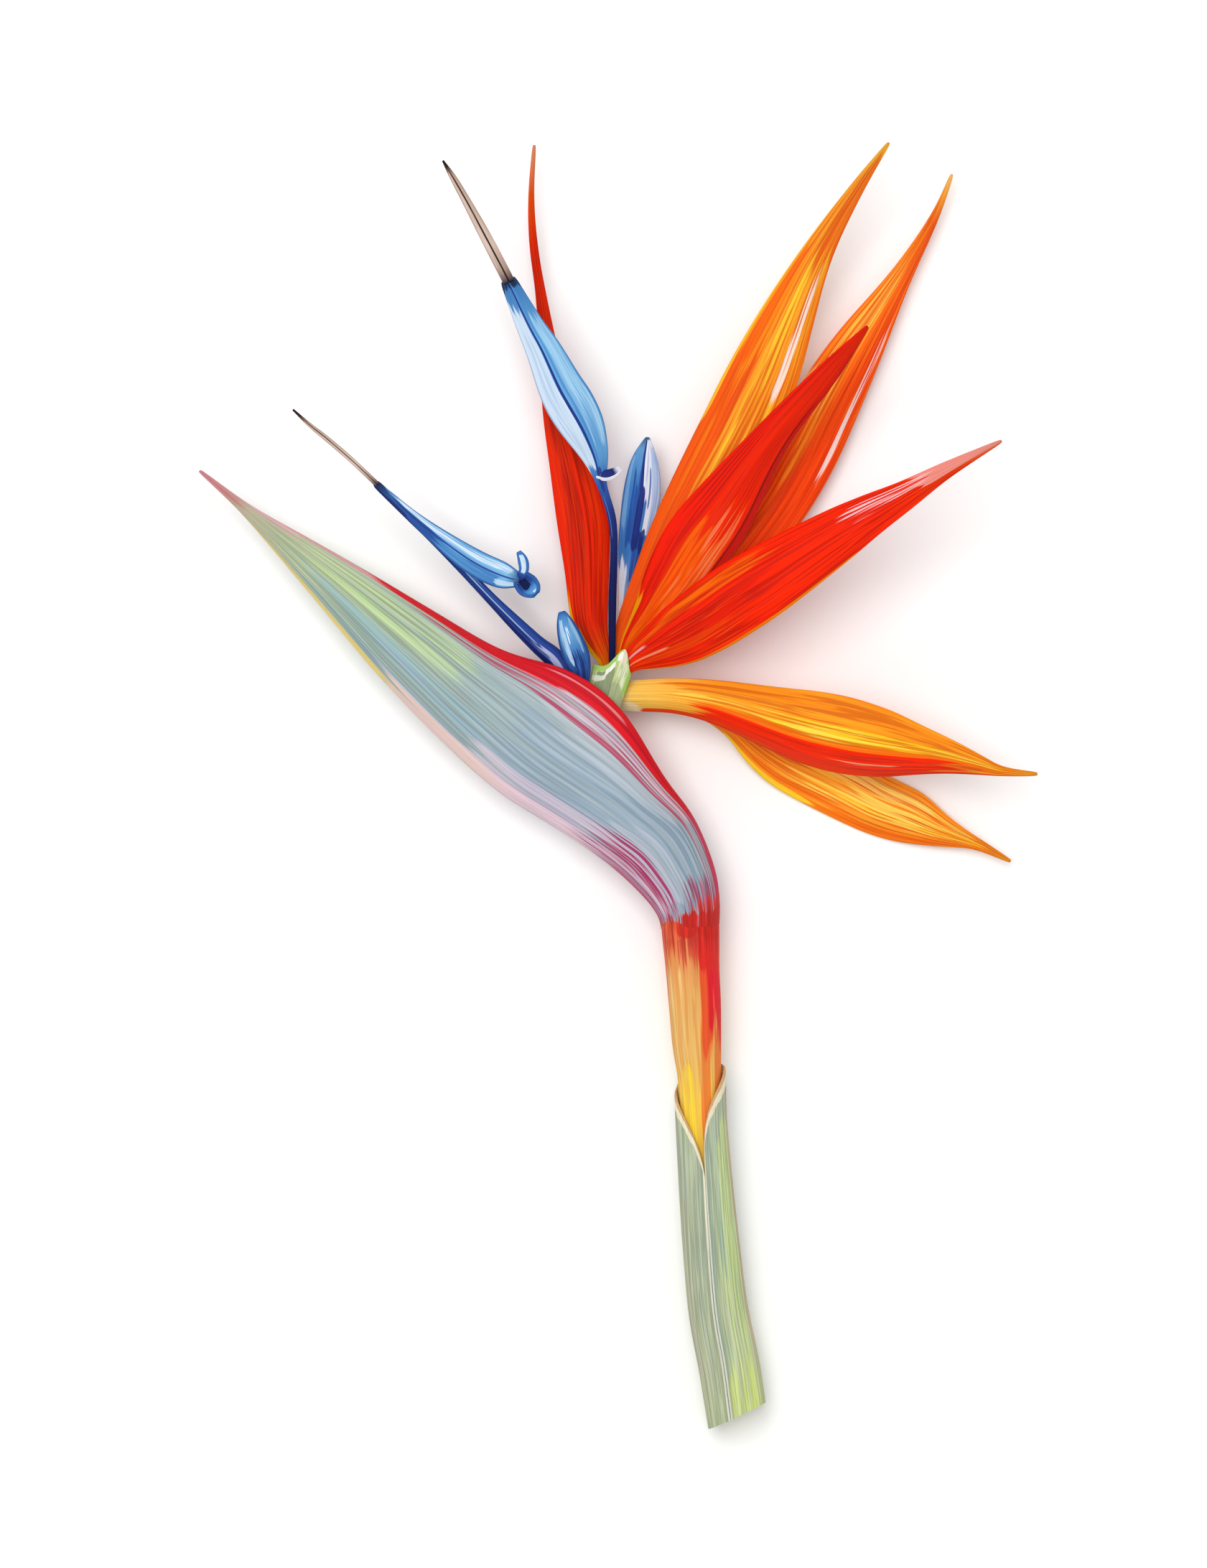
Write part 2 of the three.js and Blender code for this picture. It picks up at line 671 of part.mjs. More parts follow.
addPiece("stigma_lower", roundRod({ stations: STIGMA_LOWER, sides: 8 }), "stigma");

export default flower;
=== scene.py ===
import math

import bmesh
import bpy
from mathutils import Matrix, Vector


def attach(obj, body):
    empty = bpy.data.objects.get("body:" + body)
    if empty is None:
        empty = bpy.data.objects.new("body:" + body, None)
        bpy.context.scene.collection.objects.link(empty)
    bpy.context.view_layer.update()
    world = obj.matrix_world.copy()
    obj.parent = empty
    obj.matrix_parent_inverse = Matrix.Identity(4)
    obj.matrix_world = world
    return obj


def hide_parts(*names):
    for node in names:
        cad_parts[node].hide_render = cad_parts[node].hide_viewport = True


# A cut bird of paradise flower, lying on its side on a pale surface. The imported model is
# the frame, and each of its solids is replaced by a finer piece in the same place.
bl_info = {
    "name": "Bird of Paradise Flower",
    "version": (1, 0, 0),
    "blender": (4, 5, 0),
    "location": "View3D > Sidebar > Flower",
    "description": "Builds the looks of a cut bird of paradise flower round its packed model",
    "category": "Object",
}

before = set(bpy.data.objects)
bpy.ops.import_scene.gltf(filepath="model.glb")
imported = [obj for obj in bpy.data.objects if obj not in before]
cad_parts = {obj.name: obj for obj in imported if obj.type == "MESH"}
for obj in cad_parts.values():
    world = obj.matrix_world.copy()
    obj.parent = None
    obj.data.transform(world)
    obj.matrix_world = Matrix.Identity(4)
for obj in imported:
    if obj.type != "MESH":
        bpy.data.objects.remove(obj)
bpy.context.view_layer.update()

MM = 0.001

# The photograph: 0.16 mm a pixel, with the model's origin at this pixel.
PHOTO_WIDTH = 1681
PHOTO_HEIGHT = 2184
PIXEL = 0.16 * MM
ORIGIN_PIXEL = (861, 1097.5)
LONG_SIDE_OF_SENSOR = 36.0  # millimetres

FLOOR_SIZE = 6  # metres
KEY_PLACE = (-0.3, 0.35, 1.7)  # metres
KEY_SIZE = 1.2  # metres
VIEW_DEPTH = 20  # metres, more than the camera's height with any lens

# Lengths in the tables below are in millimetres.
MID_PLANE = 10.45  # height of the flower's plane of symmetry
TIP_HALF_WIDTH = 0.2  # no strip is narrower than this
SOFTENING = 2  # levels of subdivision on every piece
MERGE_DISTANCE = 0.01 * MM  # closer points of a rolled strip's edges become one
SHARP_ANGLE = math.radians(50)  # steeper edges than this stay sharp at a cut


# Colours

def linear(hex_colour):
    """An sRGB hex colour as Blender's linear red, green, blue and full alpha."""
    digits = hex_colour.lstrip("#")
    shares = [int(digits[i : i + 2], 16) / 255 for i in (0, 2, 4)]
    return (*(s / 12.92 if s <= 0.04045 else ((s + 0.055) / 1.055) ** 2.4 for s in shares), 1.0)


def colour_property(name, description, hex_colour):
    return bpy.props.FloatVectorProperty(
        name=name,
        description=description,
        subtype="COLOR",
        size=4,
        min=0,
        max=1,
        default=linear(hex_colour),
    )


class FlowerColours(bpy.types.PropertyGroup):
    red_sepal: colour_property("Red sepal", "Ground colour of the three red sepals", "#f02406")
    orange_sepal: colour_property("Orange sepal", "Ground colour of the tall orange sepal", "#f68614")
    blue_petal: colour_property("Blue petal", "Ground colour of the arrow-shaped petals", "#5a9fd4")
    navy_fold: colour_property("Navy fold", "The darkest folds of the blue petals", "#102a80")
    spathe_skin: colour_property("Spathe", "Waxy grey of the spathe's side", "#9fafb6")
    spathe_margin: colour_property("Spathe margin", "The red band along the margins", "#e01a26")
    stalk_skin: colour_property("Stalk", "Ground colour of the bare stalk", "#e6b766")
    sheath_skin: colour_property("Sheath", "Ground colour of the leaf sheath", "#adb794")
    bractlet_skin: colour_property("Bractlet", "The small bract round the flowers' bases", "#bcc68c")
    stigma_skin: colour_property("Stigma", "The long dry stigmas", "#dcc4b6")
    floor: colour_property("Floor", "The pale surface", "#fbfbfa")


def length_property(name, description, default, least, most):
    """A length, given in millimetres and kept in metres."""
    return bpy.props.FloatProperty(
        name=name,
        description=description,
        default=default * MM,
        min=least * MM,
        max=most * MM,
        subtype="DISTANCE",
        unit="LENGTH",
    )


class FlowerSizes(bpy.types.PropertyGroup):
    sepal_thickness: length_property("Sepal thickness", "How thick each sepal is", 0.8, 0.3, 2)
    petal_thickness: length_property("Petal thickness", "How thick each blue petal is", 0.9, 0.3, 2)
    spathe_wall: length_property("Spathe wall", "How thick the spathe's wall is", 1.0, 0.5, 3)
    sheath_wall: length_property("Sheath wall", "How thick the sheath's wall is", 0.75, 0.4, 2)
    bractlet_wall: length_property("Bractlet wall", "How thick the bractlet's wall is", 0.7, 0.4, 2)
    pleats: bpy.props.FloatProperty(
        name="Pleats",
        description="Height of a sepal's lengthwise pleats, as a share of its half-width",
        default=0.045,
        min=0,
        max=0.2,
        subtype="FACTOR",
    )


class FlowerStudio(bpy.types.PropertyGroup):
    lens: bpy.props.FloatProperty(
        name="Lens",
        description="Focal length. The camera's height follows from it",
        default=300,
        min=80,
        max=600,
        unit="CAMERA",
    )
    sky: bpy.props.FloatProperty(
        name="Even light",
        description="Strength of the white light from all round",
        default=0.64,
        min=0,
        max=2,
    )
    key: bpy.props.FloatProperty(
        name="Key light",
        description="Power of the large soft light almost straight above",
        default=19.5,
        min=0,
        max=200,
        unit="POWER",
    )


# Places and curves

def place(x, y, lift):
    """A place in millimetres, with its lift above the mid-plane, in metres."""
    return Vector((x, y, MID_PLANE + lift)) * MM


def smooth_rows(stations, rows):
    """The stations' columns, run smoothly through rows + 1 places from base to tip."""
    width = max(len(station) for station in stations)
    knots = [list(station) + [0.0] * (width - len(station)) for station in stations]
    first = [2 * a - b for a, b in zip(knots[0], knots[1])]
    last = [2 * a - b for a, b in zip(knots[-1], knots[-2])]
    knots = [first, *knots, last]
    spans = len(stations) - 1
    smooth = []
    for row in range(rows + 1):
        at = spans * row / rows
        span = min(int(at), spans - 1)
        t = at - span
        before, start, end, after = knots[span : span + 4]
        smooth.append(
            [
                0.5
                * (
                    2 * b
                    + (c - a) * t
                    + (2 * a - 5 * b + 4 * c - d) * t**2
                    + (3 * b - a - 3 * c + d) * t**3
                )
                for a, b, c, d in zip(before, start, end, after)
            ]
        )
    return smooth


def direction_at(places, row):
    """The way a line of places runs at one of them."""
    ahead = places[min(row + 1, len(places) - 1)]
    behind = places[max(row - 1, 0)]
    return (ahead - behind).normalized()


# Modelling

def flat_strip(name, columns, rows):
    """A flat grid two units wide and long, whose own UV map runs across and along it."""
    bpy.ops.object.select_all(action="DESELECT")
    bpy.ops.mesh.primitive_grid_add(x_subdivisions=columns, y_subdivisions=rows, size=2)
    piece = bpy.context.object
    piece.name = name
    piece.data.name = name
    return piece


def pick(piece, wanted):
    """Selects the vertices whose number passes the test. The piece is in edit mode."""
    mesh = bmesh.from_edit_mesh(piece.data)
    for vertex in mesh.verts:
        vertex.select_set(wanted(vertex.index))
    mesh.select_flush_mode()
    bmesh.update_edit_mesh(piece.data)


def turn(degrees, axis, centre):
    """Turns what is selected, by the right-hand rule. With no window it turns the other way."""
    bpy.ops.transform.rotate(value=-math.radians(degrees), orient_axis=axis, center_override=centre)


def shape_strip(piece, columns, rows, section, stations):
    """Bends a flat strip to its section, column by column, then sizes, turns and moves it
    row by row. A station is [x, y, lift, half-width, roll in degrees]."""
    bpy.ops.object.mode_set(mode="EDIT")
    bpy.ops.mesh.select_mode(type="VERT")
    for column in range(columns + 1):
        share = 2 * column / columns - 1
        sideways, lift = section(column, share)
        pick(piece, lambda number: number % (columns + 1) == column)
        bpy.ops.transform.translate(value=(sideways - share, 0, lift))
    smooth = smooth_rows(stations, rows)
    places = [place(x, y, lift) for x, y, lift, *_ in smooth]
    for row, (_, _, _, half_width, *rest) in enumerate(smooth):
        size = max(half_width, TIP_HALF_WIDTH) * MM
        roll = rest[0] if rest else 0
        along = direction_at(places, row)
        here = Vector((0, 2 * row / rows - 1, 0))
        pick(piece, lambda number: number // (columns + 1) == row)
        bpy.ops.transform.resize(value=(size, 1, size), center_override=here)
        turn(-roll, "Y", here)
        turn(math.degrees(math.asin(along.z)), "X", here)
        turn(math.degrees(math.atan2(-along.x, along.y)), "Z", here)
        bpy.ops.transform.translate(value=places[row] - here)
    bpy.ops.object.mode_set(mode="OBJECT")


def set_places(piece, columns, rows, place_at):
    """Puts each vertex of a strip where a formula says, for a section that changes on the
    way in a manner that sizing and turning whole rows can't give."""
    for vertex in piece.data.vertices:
        row, column = divmod(vertex.index, columns + 1)
        vertex.co = place_at(row / rows, column / columns)


def make_active(piece):
    """Selects one piece alone, so that the next operators act on it."""
    bpy.ops.object.select_all(action="DESELECT")
    piece.select_set(True)
    bpy.context.view_layer.objects.active = piece


def apply_modifier(piece, kind, **settings):
    make_active(piece)
    bpy.ops.object.modifier_add(type=kind)
    modifier = piece.modifiers[-1]
    for name, value in settings.items():
        setattr(modifier, name, value)
    bpy.ops.object.modifier_apply(modifier=modifier.name)


def thicken(piece, wall, offset=0.0, **settings):
    apply_modifier(piece, "SOLIDIFY", thickness=wall, offset=offset, use_even_offset=True, **settings)


def soften(piece):
    apply_modifier(piece, "SUBSURF", levels=SOFTENING, render_levels=SOFTENING)
    bpy.ops.object.shade_smooth()


def close_tube(piece):
    """Joins a rolled strip's two long edges and closes its two ends."""
    make_active(piece)
    bpy.ops.object.mode_set(mode="EDIT")
    bpy.ops.mesh.select_all(action="SELECT")
    bpy.ops.mesh.remove_doubles(threshold=MERGE_DISTANCE)
    bpy.ops.mesh.select_all(action="DESELECT")
    bpy.ops.mesh.select_mode(type="EDGE")
    bpy.ops.mesh.select_non_manifold()
    bpy.ops.transform.edge_crease(value=1)
    bpy.ops.mesh.select_all(action="SELECT")
    bpy.ops.mesh.fill_holes(sides=0)
    bpy.ops.mesh.normals_make_consistent(inside=False)
    bpy.ops.object.mode_set(mode="OBJECT")


def cut_away(piece, where, normal):
    """Cuts off what lies behind a plane and closes the cut flat."""
    make_active(piece)
    bpy.ops.object.mode_set(mode="EDIT")
    bpy.ops.mesh.select_all(action="SELECT")
    bpy.ops.mesh.bisect(plane_co=where, plane_no=normal, use_fill=True, clear_inner=True)
    bpy.ops.object.mode_set(mode="OBJECT")
    bpy.ops.object.shade_smooth_by_angle(angle=SHARP_ANGLE)


def flatten_underside(piece):
    """Cuts off what would lie below the surface, which leaves a flat spot to lie on."""
    cut_away(piece, (0, 0, 0), (0, 0, 1))


def stand_for(piece, material, slot, *nodes):
    """Gives a piece its finish and lets it stand for its CAD nodes."""
    piece.data.materials.clear()
    piece.data.materials.append(material)
    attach(piece, "root")
    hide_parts(*nodes)


# Materials

def add_node(tree, kind, settings=None, inputs=None):
    """Adds a node with its settings, and fills its inputs with values or links."""
    node = tree.nodes.new(kind)
    for name, value in (settings or {}).items():
        setattr(node, name, value)
    for name, value in (inputs or {}).items():
        if isinstance(value, bpy.types.NodeSocket):
            tree.links.new(value, node.inputs[name])
        else:
            node.inputs[name].default_value = value
    return node


def empty_material(name):
    """A material with no nodes yet, and its node tree."""
    material = bpy.data.materials.new(name)
    material.use_nodes = True
    material.node_tree.nodes.clear()
    return material, material.node_tree


def set_stops(ramp_node, stops, interpolation="LINEAR"):
    """Gives a colour ramp its stops, each a place and a colour."""
    ramp = ramp_node.color_ramp
    ramp.interpolation = interpolation
    while len(ramp.elements) > 1:
        ramp.elements.remove(ramp.elements[-1])
    ramp.elements[0].position, ramp.elements[0].color = stops[0]
    for position, colour in stops[1:]:
        ramp.elements.new(position).color = colour


def patch_stops(patch):
    """A soft patch from 0 to 1: it starts, is full, is still full, and has ended."""
    start, full, still_full, end = patch
    black, white = (0, 0, 0, 1), (1, 1, 1, 1)
    stops = []
    if full > 0:
        stops += [(max(start, 0), black), (full, white)]
    else:
        stops += [(0, white)]
    if still_full < 1:
        stops += [(max(still_full, stops[-1][0]), white), (min(end, 1), black)]
    return stops


def tint(colour, across, along, strength=1.0, cover=1.15, grain=0):
    """A wash of pigment: its colour, the patch across and along the piece that it fills,
    how strong it is, how much of the patch its streaks cover, and which set of streaks it
    follows: the broad one, 0, or one of the two fine ones, 1 and 2."""
    return {
        "colour": colour,
        "across": across,
        "along": along,
        "strength": strength,
        "cover": cover,
        "grain": grain,
    }


def beside_both_margins(colour, across, *rest):
    """The same tint twice: in its patch, and in that patch mirrored across the piece."""
    mirrored = [1 - share for share in reversed(across)]
    return [tint(colour, across, *rest), tint(colour, mirrored, *rest)]


WHOLE = (0, 0, 1, 1)  # a patch that fills the whole piece
STREAK_SHARPNESS = 3.5  # how hard a streak's edges are
STREAK_REACH = 0.2  # how far a streak runs on past its patch's edge
STREAK_NOISE = (0.36, 0.64)  # the part of the noise's range that is spread over 0 to 1
FINE_RUN = 1.8  # how many times shorter a fine streak is than a broad one
SEEDS = 97  # how many seeds there are. A material's name gives it one of them
FINE_SEED = 11  # added to the seed for each set of fine streaks, so that they differ
OTHER_SEED = 29
SEED_STEP = (1, 0.37, 1.7)  # how far a seed moves the noise
BROAD_RELIEF = 0.6  # height of the broad streaks, against that of the fine ones
BUMP_STRENGTH = 0.7
LIGHT_DEPTH = 1.2 * MM  # how far light spreads in thin tissue
LIGHT_COLOUR = (1.0, 0.4, 0.2)  # red light goes furthest


def streaks(tree, across, along, count, run, seed):
    """Lengthwise streaks, so many across a piece, as a value from 0 to 1."""
    low, high = STREAK_NOISE
    where = add_node(tree, "ShaderNodeCombineXYZ", inputs={0: across, 1: along, 2: 0.0})
    scaled = add_node(
        tree,
        "ShaderNodeMapping",
        inputs={
            "Vector": where.outputs[0],
            "Location": [seed * step for step in SEED_STEP],
            "Scale": (count, run, 1),
        },
    )
    noise = add_node(
        tree,
        "ShaderNodeTexNoise",
        inputs={
            "Vector": scaled.outputs[0],
            "Scale": 1.0,
            "Detail": 2.0,
            "Roughness": 0.6,
            "Distortion": 0.15,
        },
    )
    spread = add_node(
        tree,
        "ShaderNodeMapRange",
        inputs={"Value": noise.outputs[0], "From Min": low, "From Max": high},
    )
    return spread.outputs[0]


def pigment(colour):
    return linear(colour) if isinstance(colour, str) else tuple(colour)


# On a real flower the veins stand half a millimetre to a millimetre apart. The numbers of
# fine streaks come from that and from each piece's width or girth, and a broad streak takes
# in two to four veins.
def living_skin(
    name,
    ground,
    tints,
    mirrored=False,
    broad=9,
    fine=28,
    run=3.2,
    relief=0.12,
    roughness=(0.5, 0.68),
    shine=0.08,
    glow=0.04,
    veins=0.14,
    tone=0.88,
    richness=1.08,
):
    """A plant's skin. Its ground colour runs from base to tip, tints lie over it in streaks,
    and lengthwise veins give its shade and relief. Broad and fine are how many streaks lie
    across the piece, and run how many along it. Relief is in millimetres. Glow is light let
    through thin tissue, tone is how light the whole skin is, and richness how saturated."""
    material, tree = empty_material(name)
    seed = sum(ord(letter) for letter in name) % SEEDS
    surface = add_node(tree, "ShaderNodeUVMap", {"uv_map": "UVMap"})
    split = add_node(tree, "ShaderNodeSeparateXYZ", inputs={0: surface.outputs[0]})
    raw_across, along = split.outputs[0], split.outputs[1]
    across = raw_across
    if mirrored:
        # From a margin, 0, to the keel, 1, alike on both sides.
        centred = add_node(
            tree, "ShaderNodeMath", {"operation": "MULTIPLY_ADD"}, {0: raw_across, 1: 2.0, 2: -1.0}
        )
        size = add_node(tree, "ShaderNodeMath", {"operation": "ABSOLUTE"}, {0: centred.outputs[0]})
        across = add_node(
            tree, "ShaderNodeMath", {"operation": "SUBTRACT"}, {0: 1.0, 1: size.outputs[0]}
        ).outputs[0]
    broad_streaks = streaks(tree, raw_across, along, broad, run, seed)
    fine_streaks = streaks(tree, raw_across, along, fine, run * FINE_RUN, seed + FINE_SEED)
    other_streaks = streaks(tree, raw_across, along, fine, run * FINE_RUN, seed + OTHER_SEED)
    ramp = add_node(tree, "ShaderNodeValToRGB", inputs={0: along})
    set_stops(ramp, [(position, pigment(colour)) for position, colour in ground])
    colour = ramp.outputs[0]
    for one in tints:
        sideways = add_node(tree, "ShaderNodeValToRGB", inputs={0: across})
        set_stops(sideways, patch_stops(one["across"]), "EASE")
        lengthways = add_node(tree, "ShaderNodeValToRGB", inputs={0: along})
        set_stops(lengthways, patch_stops(one["along"]), "EASE")
        both = add_node(
            tree,
            "ShaderNodeMath",
            {"operation": "MULTIPLY"},
            {0: sideways.outputs[0], 1: lengthways.outputs[0]},
        )
        # The pigment lies where the patch, times its cover, stands higher than the streaks.
        offered = add_node(
            tree,
            "ShaderNodeMath",
            {"operation": "MULTIPLY_ADD"},
            {
                0: both.outputs[0],
                1: (one["cover"] + STREAK_REACH) * STREAK_SHARPNESS,
                2: 0.5 - STREAK_REACH * STREAK_SHARPNESS,
            },
        )
        grain = (broad_streaks, fine_streaks, other_streaks)[one["grain"]]
        laid = add_node(
            tree,
            "ShaderNodeMath",
            {"operation": "MULTIPLY_ADD", "use_clamp": True},
            {0: grain, 1: -STREAK_SHARPNESS, 2: offered.outputs[0]},
        )
        share = add_node(
            tree, "ShaderNodeMath", {"operation": "MULTIPLY"}, {0: laid.outputs[0], 1: one["strength"]}
        )
        mixed = add_node(
            tree,
            "ShaderNodeMix",
            {"data_type": "RGBA"},
            {0: share.outputs[0], 6: colour, 7: pigment(one["colour"])},
        )
        colour = mixed.outputs[2]
    shade = add_node(
        tree,
        "ShaderNodeMath",
        {"operation": "MULTIPLY_ADD"},
        {0: fine_streaks, 1: veins, 2: tone - veins / 2},
    )
    veined = add_node(
        tree,
        "ShaderNodeHueSaturation",
        inputs={"Saturation": richness, "Value": shade.outputs[0], "Color": colour},
    )
    rough = add_node(
        tree,
        "ShaderNodeMapRange",
        inputs={"Value": fine_streaks, "To Min": roughness[0], "To Max": roughness[1]},
    )
    height = add_node(
        tree,
        "ShaderNodeMath",
        {"operation": "MULTIPLY_ADD"},
        {0: broad_streaks, 1: BROAD_RELIEF, 2: fine_streaks},
    )
    bump = add_node(
        tree,
        "ShaderNodeBump",
        inputs={
            "Height": height.outputs[0],
            "Strength": BUMP_STRENGTH,
            "Distance": relief * MM,
        },
    )
    shader = add_node(
        tree,
        "ShaderNodeBsdfPrincipled",
        inputs={
            "Base Color": veined.outputs[0],
            "Roughness": rough.outputs[0],
            "Normal": bump.outputs[0],
            "Specular IOR Level": shine,
            "Subsurface Weight": glow,
            "Subsurface Radius": LIGHT_COLOUR,
            "Subsurface Scale": LIGHT_DEPTH,
        },
    )
    add_node(tree, "ShaderNodeOutputMaterial", inputs={"Surface": shader.outputs[0]})
    return material


BUNDLE_SPACING = 1.1 * MM
PITH_RELIEF = 0.1 * MM
WET_LIGHT_DEPTH = 1.0 * MM


def cut_pith(name):
    """The cut end of a stalk: pale wet pith, with the bundles that run up the stalk as
    darker dots about a millimetre apart."""
    material, tree = empty_material(name)
    place_on_piece = add_node(tree, "ShaderNodeTexCoord")
    cells = add_node(
        tree,
        "ShaderNodeTexVoronoi",
        inputs={"Vector": place_on_piece.outputs["Object"], "Scale": 1 / BUNDLE_SPACING},
    )
    dots = add_node(tree, "ShaderNodeValToRGB", inputs={0: cells.outputs["Distance"]})
    set_stops(dots, [(0.0, linear("#8f9c5e")), (0.28, linear("#a9b374")), (0.42, linear("#e6e3bd"))])
    bump = add_node(
        tree,
        "ShaderNodeBump",
        inputs={"Height": cells.outputs["Distance"], "Strength": 0.5, "Distance": PITH_RELIEF},
    )
    shader = add_node(
        tree,
        "ShaderNodeBsdfPrincipled",
        inputs={
            "Base Color": dots.outputs[0],
            "Normal": bump.outputs[0],
            "Roughness": 0.35,
            "Subsurface Weight": 0.2,
            "Subsurface Scale": WET_LIGHT_DEPTH,
        },
    )
    add_node(tree, "ShaderNodeOutputMaterial", inputs={"Surface": shader.outputs[0]})
    return material


# The stalk and its sheath

# The stem's centre line from the cut end up to the spathe: [x, y, lift above the mid-plane,
# half-width of the stalk, half-width of the sheath].
STEM = [
    [27.4, -146.0, -4.0, 5.4, 6.8],
    [24.8, -129.2, -3.7, 5.5, 6.9],
    [23.0, -120.4, -3.4, 5.4, 6.8],
    [21.8, -112.4, -3.05, 5.2, 6.65],
    [20.2, -96.4, -2.35, 4.9, 6.3],
    [19.2, -84.0, -1.75, 4.7, 6.0],
    [18.5, -74.0, -1.25, 4.7, 5.8],
    [18.1, -64.4, -0.85, 4.95, 5.85],
    [17.5, -57.0, -0.55, 5.55, 6.0],
    [17.1, -48.4, -0.3, 5.9, 6.0],
    [16.6, -40.4, -0.1, 6.1, 6.0],
    [16.1, -31.6, 0, 6.55, 6.0],
    [16.1, -29.9, 0, 6.4, 5.95],
]
RECEPTACLE = [
    [16.1, -32.3, 0, 4.6],
    [15.9, -28.5, 0, 4.5],
    [14.6, -24.6, 0, 4.0],
    [12.9, -21.6, 0, 3.5],
]
CUT_CENTRE = Vector((26.4, -140.1, MID_PLANE)) * MM
CUT_SLOPE = math.radians(25)  # the knife's slant across the stem
CUT_NORMAL = Vector((-math.sin(CUT_SLOPE), math.cos(CUT_SLOPE), 0))
NEAR_THE_CUT = 0.05 * MM
FACING_THE_CUT = 0.99  # cosine of the angle to the cut's own direction
NOTCH_Y = -88.4  # foot of the notch in the sheath's mouth
# The mouth's rise above the notch at each side, and the power that gives its curve.
MOUTH_LEFT = {"side": 21, "power": 0.42}
MOUTH_RIGHT = {"side": 26, "power": 0.27}
MOUTH_BACK = 28  # the mouth's rise at the back
MARGIN_CROWDING = 1.7  # columns stand closer together beside the seam
SHEATH_HALF_GAP = 0.008  # radians
SEAM_TURN = 0.25  # radians to the left at the cut end
SEAT_GAP = 0.3  # between the stalk and the sheath's inner side
STEM_ROWS = 240  # how finely the sheath reads the stem's line


def round_section(column, share):
    """A strip's columns rolled into a tube, from the right over the top."""
    angle = math.pi * (share + 1)
    return math.cos(angle), math.sin(angle)


def rod(name, stations, sides=16, rows=12):
    piece = flat_strip(name, sides, rows)
    shape_strip(piece, sides, rows, round_section, stations)
    close_tube(piece)
    soften(piece)
    return piece


def paint_cut(piece, pith):
    """The faces that the knife left get the pith's finish."""
    piece.data.materials.append(pith)
    for face in piece.data.polygons:
        on_plane = abs((face.center - CUT_CENTRE).dot(CUT_NORMAL)) < NEAR_THE_CUT
        if on_plane and abs(face.normal.dot(CUT_NORMAL)) > FACING_THE_CUT:
            face.material_index = 1


class FLOWER_OT_stalk(bpy.types.Operator):
    """Builds the bare stalk and its narrow end inside the spathe"""

    bl_idname = "flower.stalk"
    bl_label = "Stalk"

    def execute(self, context):
        ground = context.scene.flower_colours.stalk_skin
        # A smooth, slightly waxy stalk, flushed red towards the flower: soft shine, and long
        # streaks where the flush breaks up over the tan and yellow below it.
        # Round the stalk: 0 is its right side, 0.25 its top, 0.5 its left side.
        skin = living_skin(
            "stalk_skin_smooth",
            [
                (0, "#c9b56c"),
                (0.4, "#deb040"),
                (0.52, "#ebbe48"),
                (0.64, ground),
                (0.78, "#e4aa60"),
                (0.86, "#e08c54"),
                (0.92, "#d9603c"),
            ],
            [
                tint("#ea7a34", (0, 0, 0.19, 0.3), (0.36, 0.46, 0.84, 0.94), 0.92, 0.85),
                tint("#f2d48c", (0.3, 0.34, 0.44, 0.48), (0.54, 0.62, 0.82, 0.88), 0.65, 0.5, 1),
                tint("#d08a46", (0.16, 0.22, 0.5, 0.56), (0.5, 0.6, 0.9, 0.96), 0.55, 0.44, 2),
                tint("#f3d03a", (0.24, 0.3, 0.5, 0.6), (0.34, 0.42, 0.58, 0.7), 0.92, 0.78),
                tint("#e4502a", (0, 0, 0.19, 0.25), (0.6, 0.7, 0.95, 1), 0.9, 0.85),
                tint("#e2202e", (0, 0, 0.14, 0.19), (0.62, 0.74, 0.96, 1.1), 0.97, 1.0),
                tint("#dc1e30", (0.88, 0.95, 1, 1.1), (0.6, 0.72, 0.96, 1.1), 0.95, 0.95),
                tint("#cc4a34", WHOLE, (0.8, 0.9, 1, 1.1), 0.9, 0.75, 1),
                tint("#dd6a42", (0.26, 0.32, 0.6, 0.7), (0.88, 0.91, 1, 1.1), 0.85, 0.95),
                tint("#dd2a26", (0, 0, 0.21, 0.28), (0.8, 0.87, 1, 1.1), 0.94, 1.0),
                tint("#d6281f", (0, 0, 0.29, 0.36), (0.88, 0.92, 1, 1.1), 0.95, 1.1),
                tint("#c8452e", (0.25, 0.3, 0.6, 0.7), (0.85, 0.9, 1, 1.1), 0.85, 0.52, 2),
                tint("#9e2422", WHOLE, (0.84, 0.9, 1, 1.1), 0.5, 0.42, 1),
                tint("#d9604a", (0.42, 0.46, 0.53, 0.6), (0.7, 0.8, 1, 1.1), 0.7, 0.8),
            ],
            broad=14,
            fine=48,
            run=2.2,
            tone=0.97,
            richness=1.0,
        )
        shown = [station[:4] for station in STEM]
        piece = rod("stalk_round", shown, sides=20, rows=40)
        cut_away(piece, CUT_CENTRE, CUT_NORMAL)
        stand_for(piece, skin, "stalk_skin", "stalk")
        paint_cut(piece, cut_pith("stalk_cut_pith"))
        end = rod("receptacle", RECEPTACLE, rows=6)
        stand_for(end, skin, "stalk_skin", "stalk")
        return {"FINISHED"}


def stem_at(table, y):
    """The stem's centre and half-widths where it has reached a given y, and its direction."""
    after = next((k for k, row in enumerate(table) if row[1] >= y), len(table) - 1)
    after = max(after, 1)
    low, high = table[after - 1], table[after]
    share = (y - low[1]) / (high[1] - low[1])
    row = [a + (b - a) * share for a, b in zip(low, high)]
    along = (Vector(high[:3]) - Vector(low[:3])).normalized()
    return row, along


def mouth_rise(from_seam, side, power):
    """How far the sheath's mouth stands above its notch, at an angle from the seam."""
    quarter = math.pi / 2
    if from_seam <= quarter:
        return side * (from_seam / quarter) ** power
    return side + (MOUTH_BACK - side) * math.cos(from_seam) ** 2


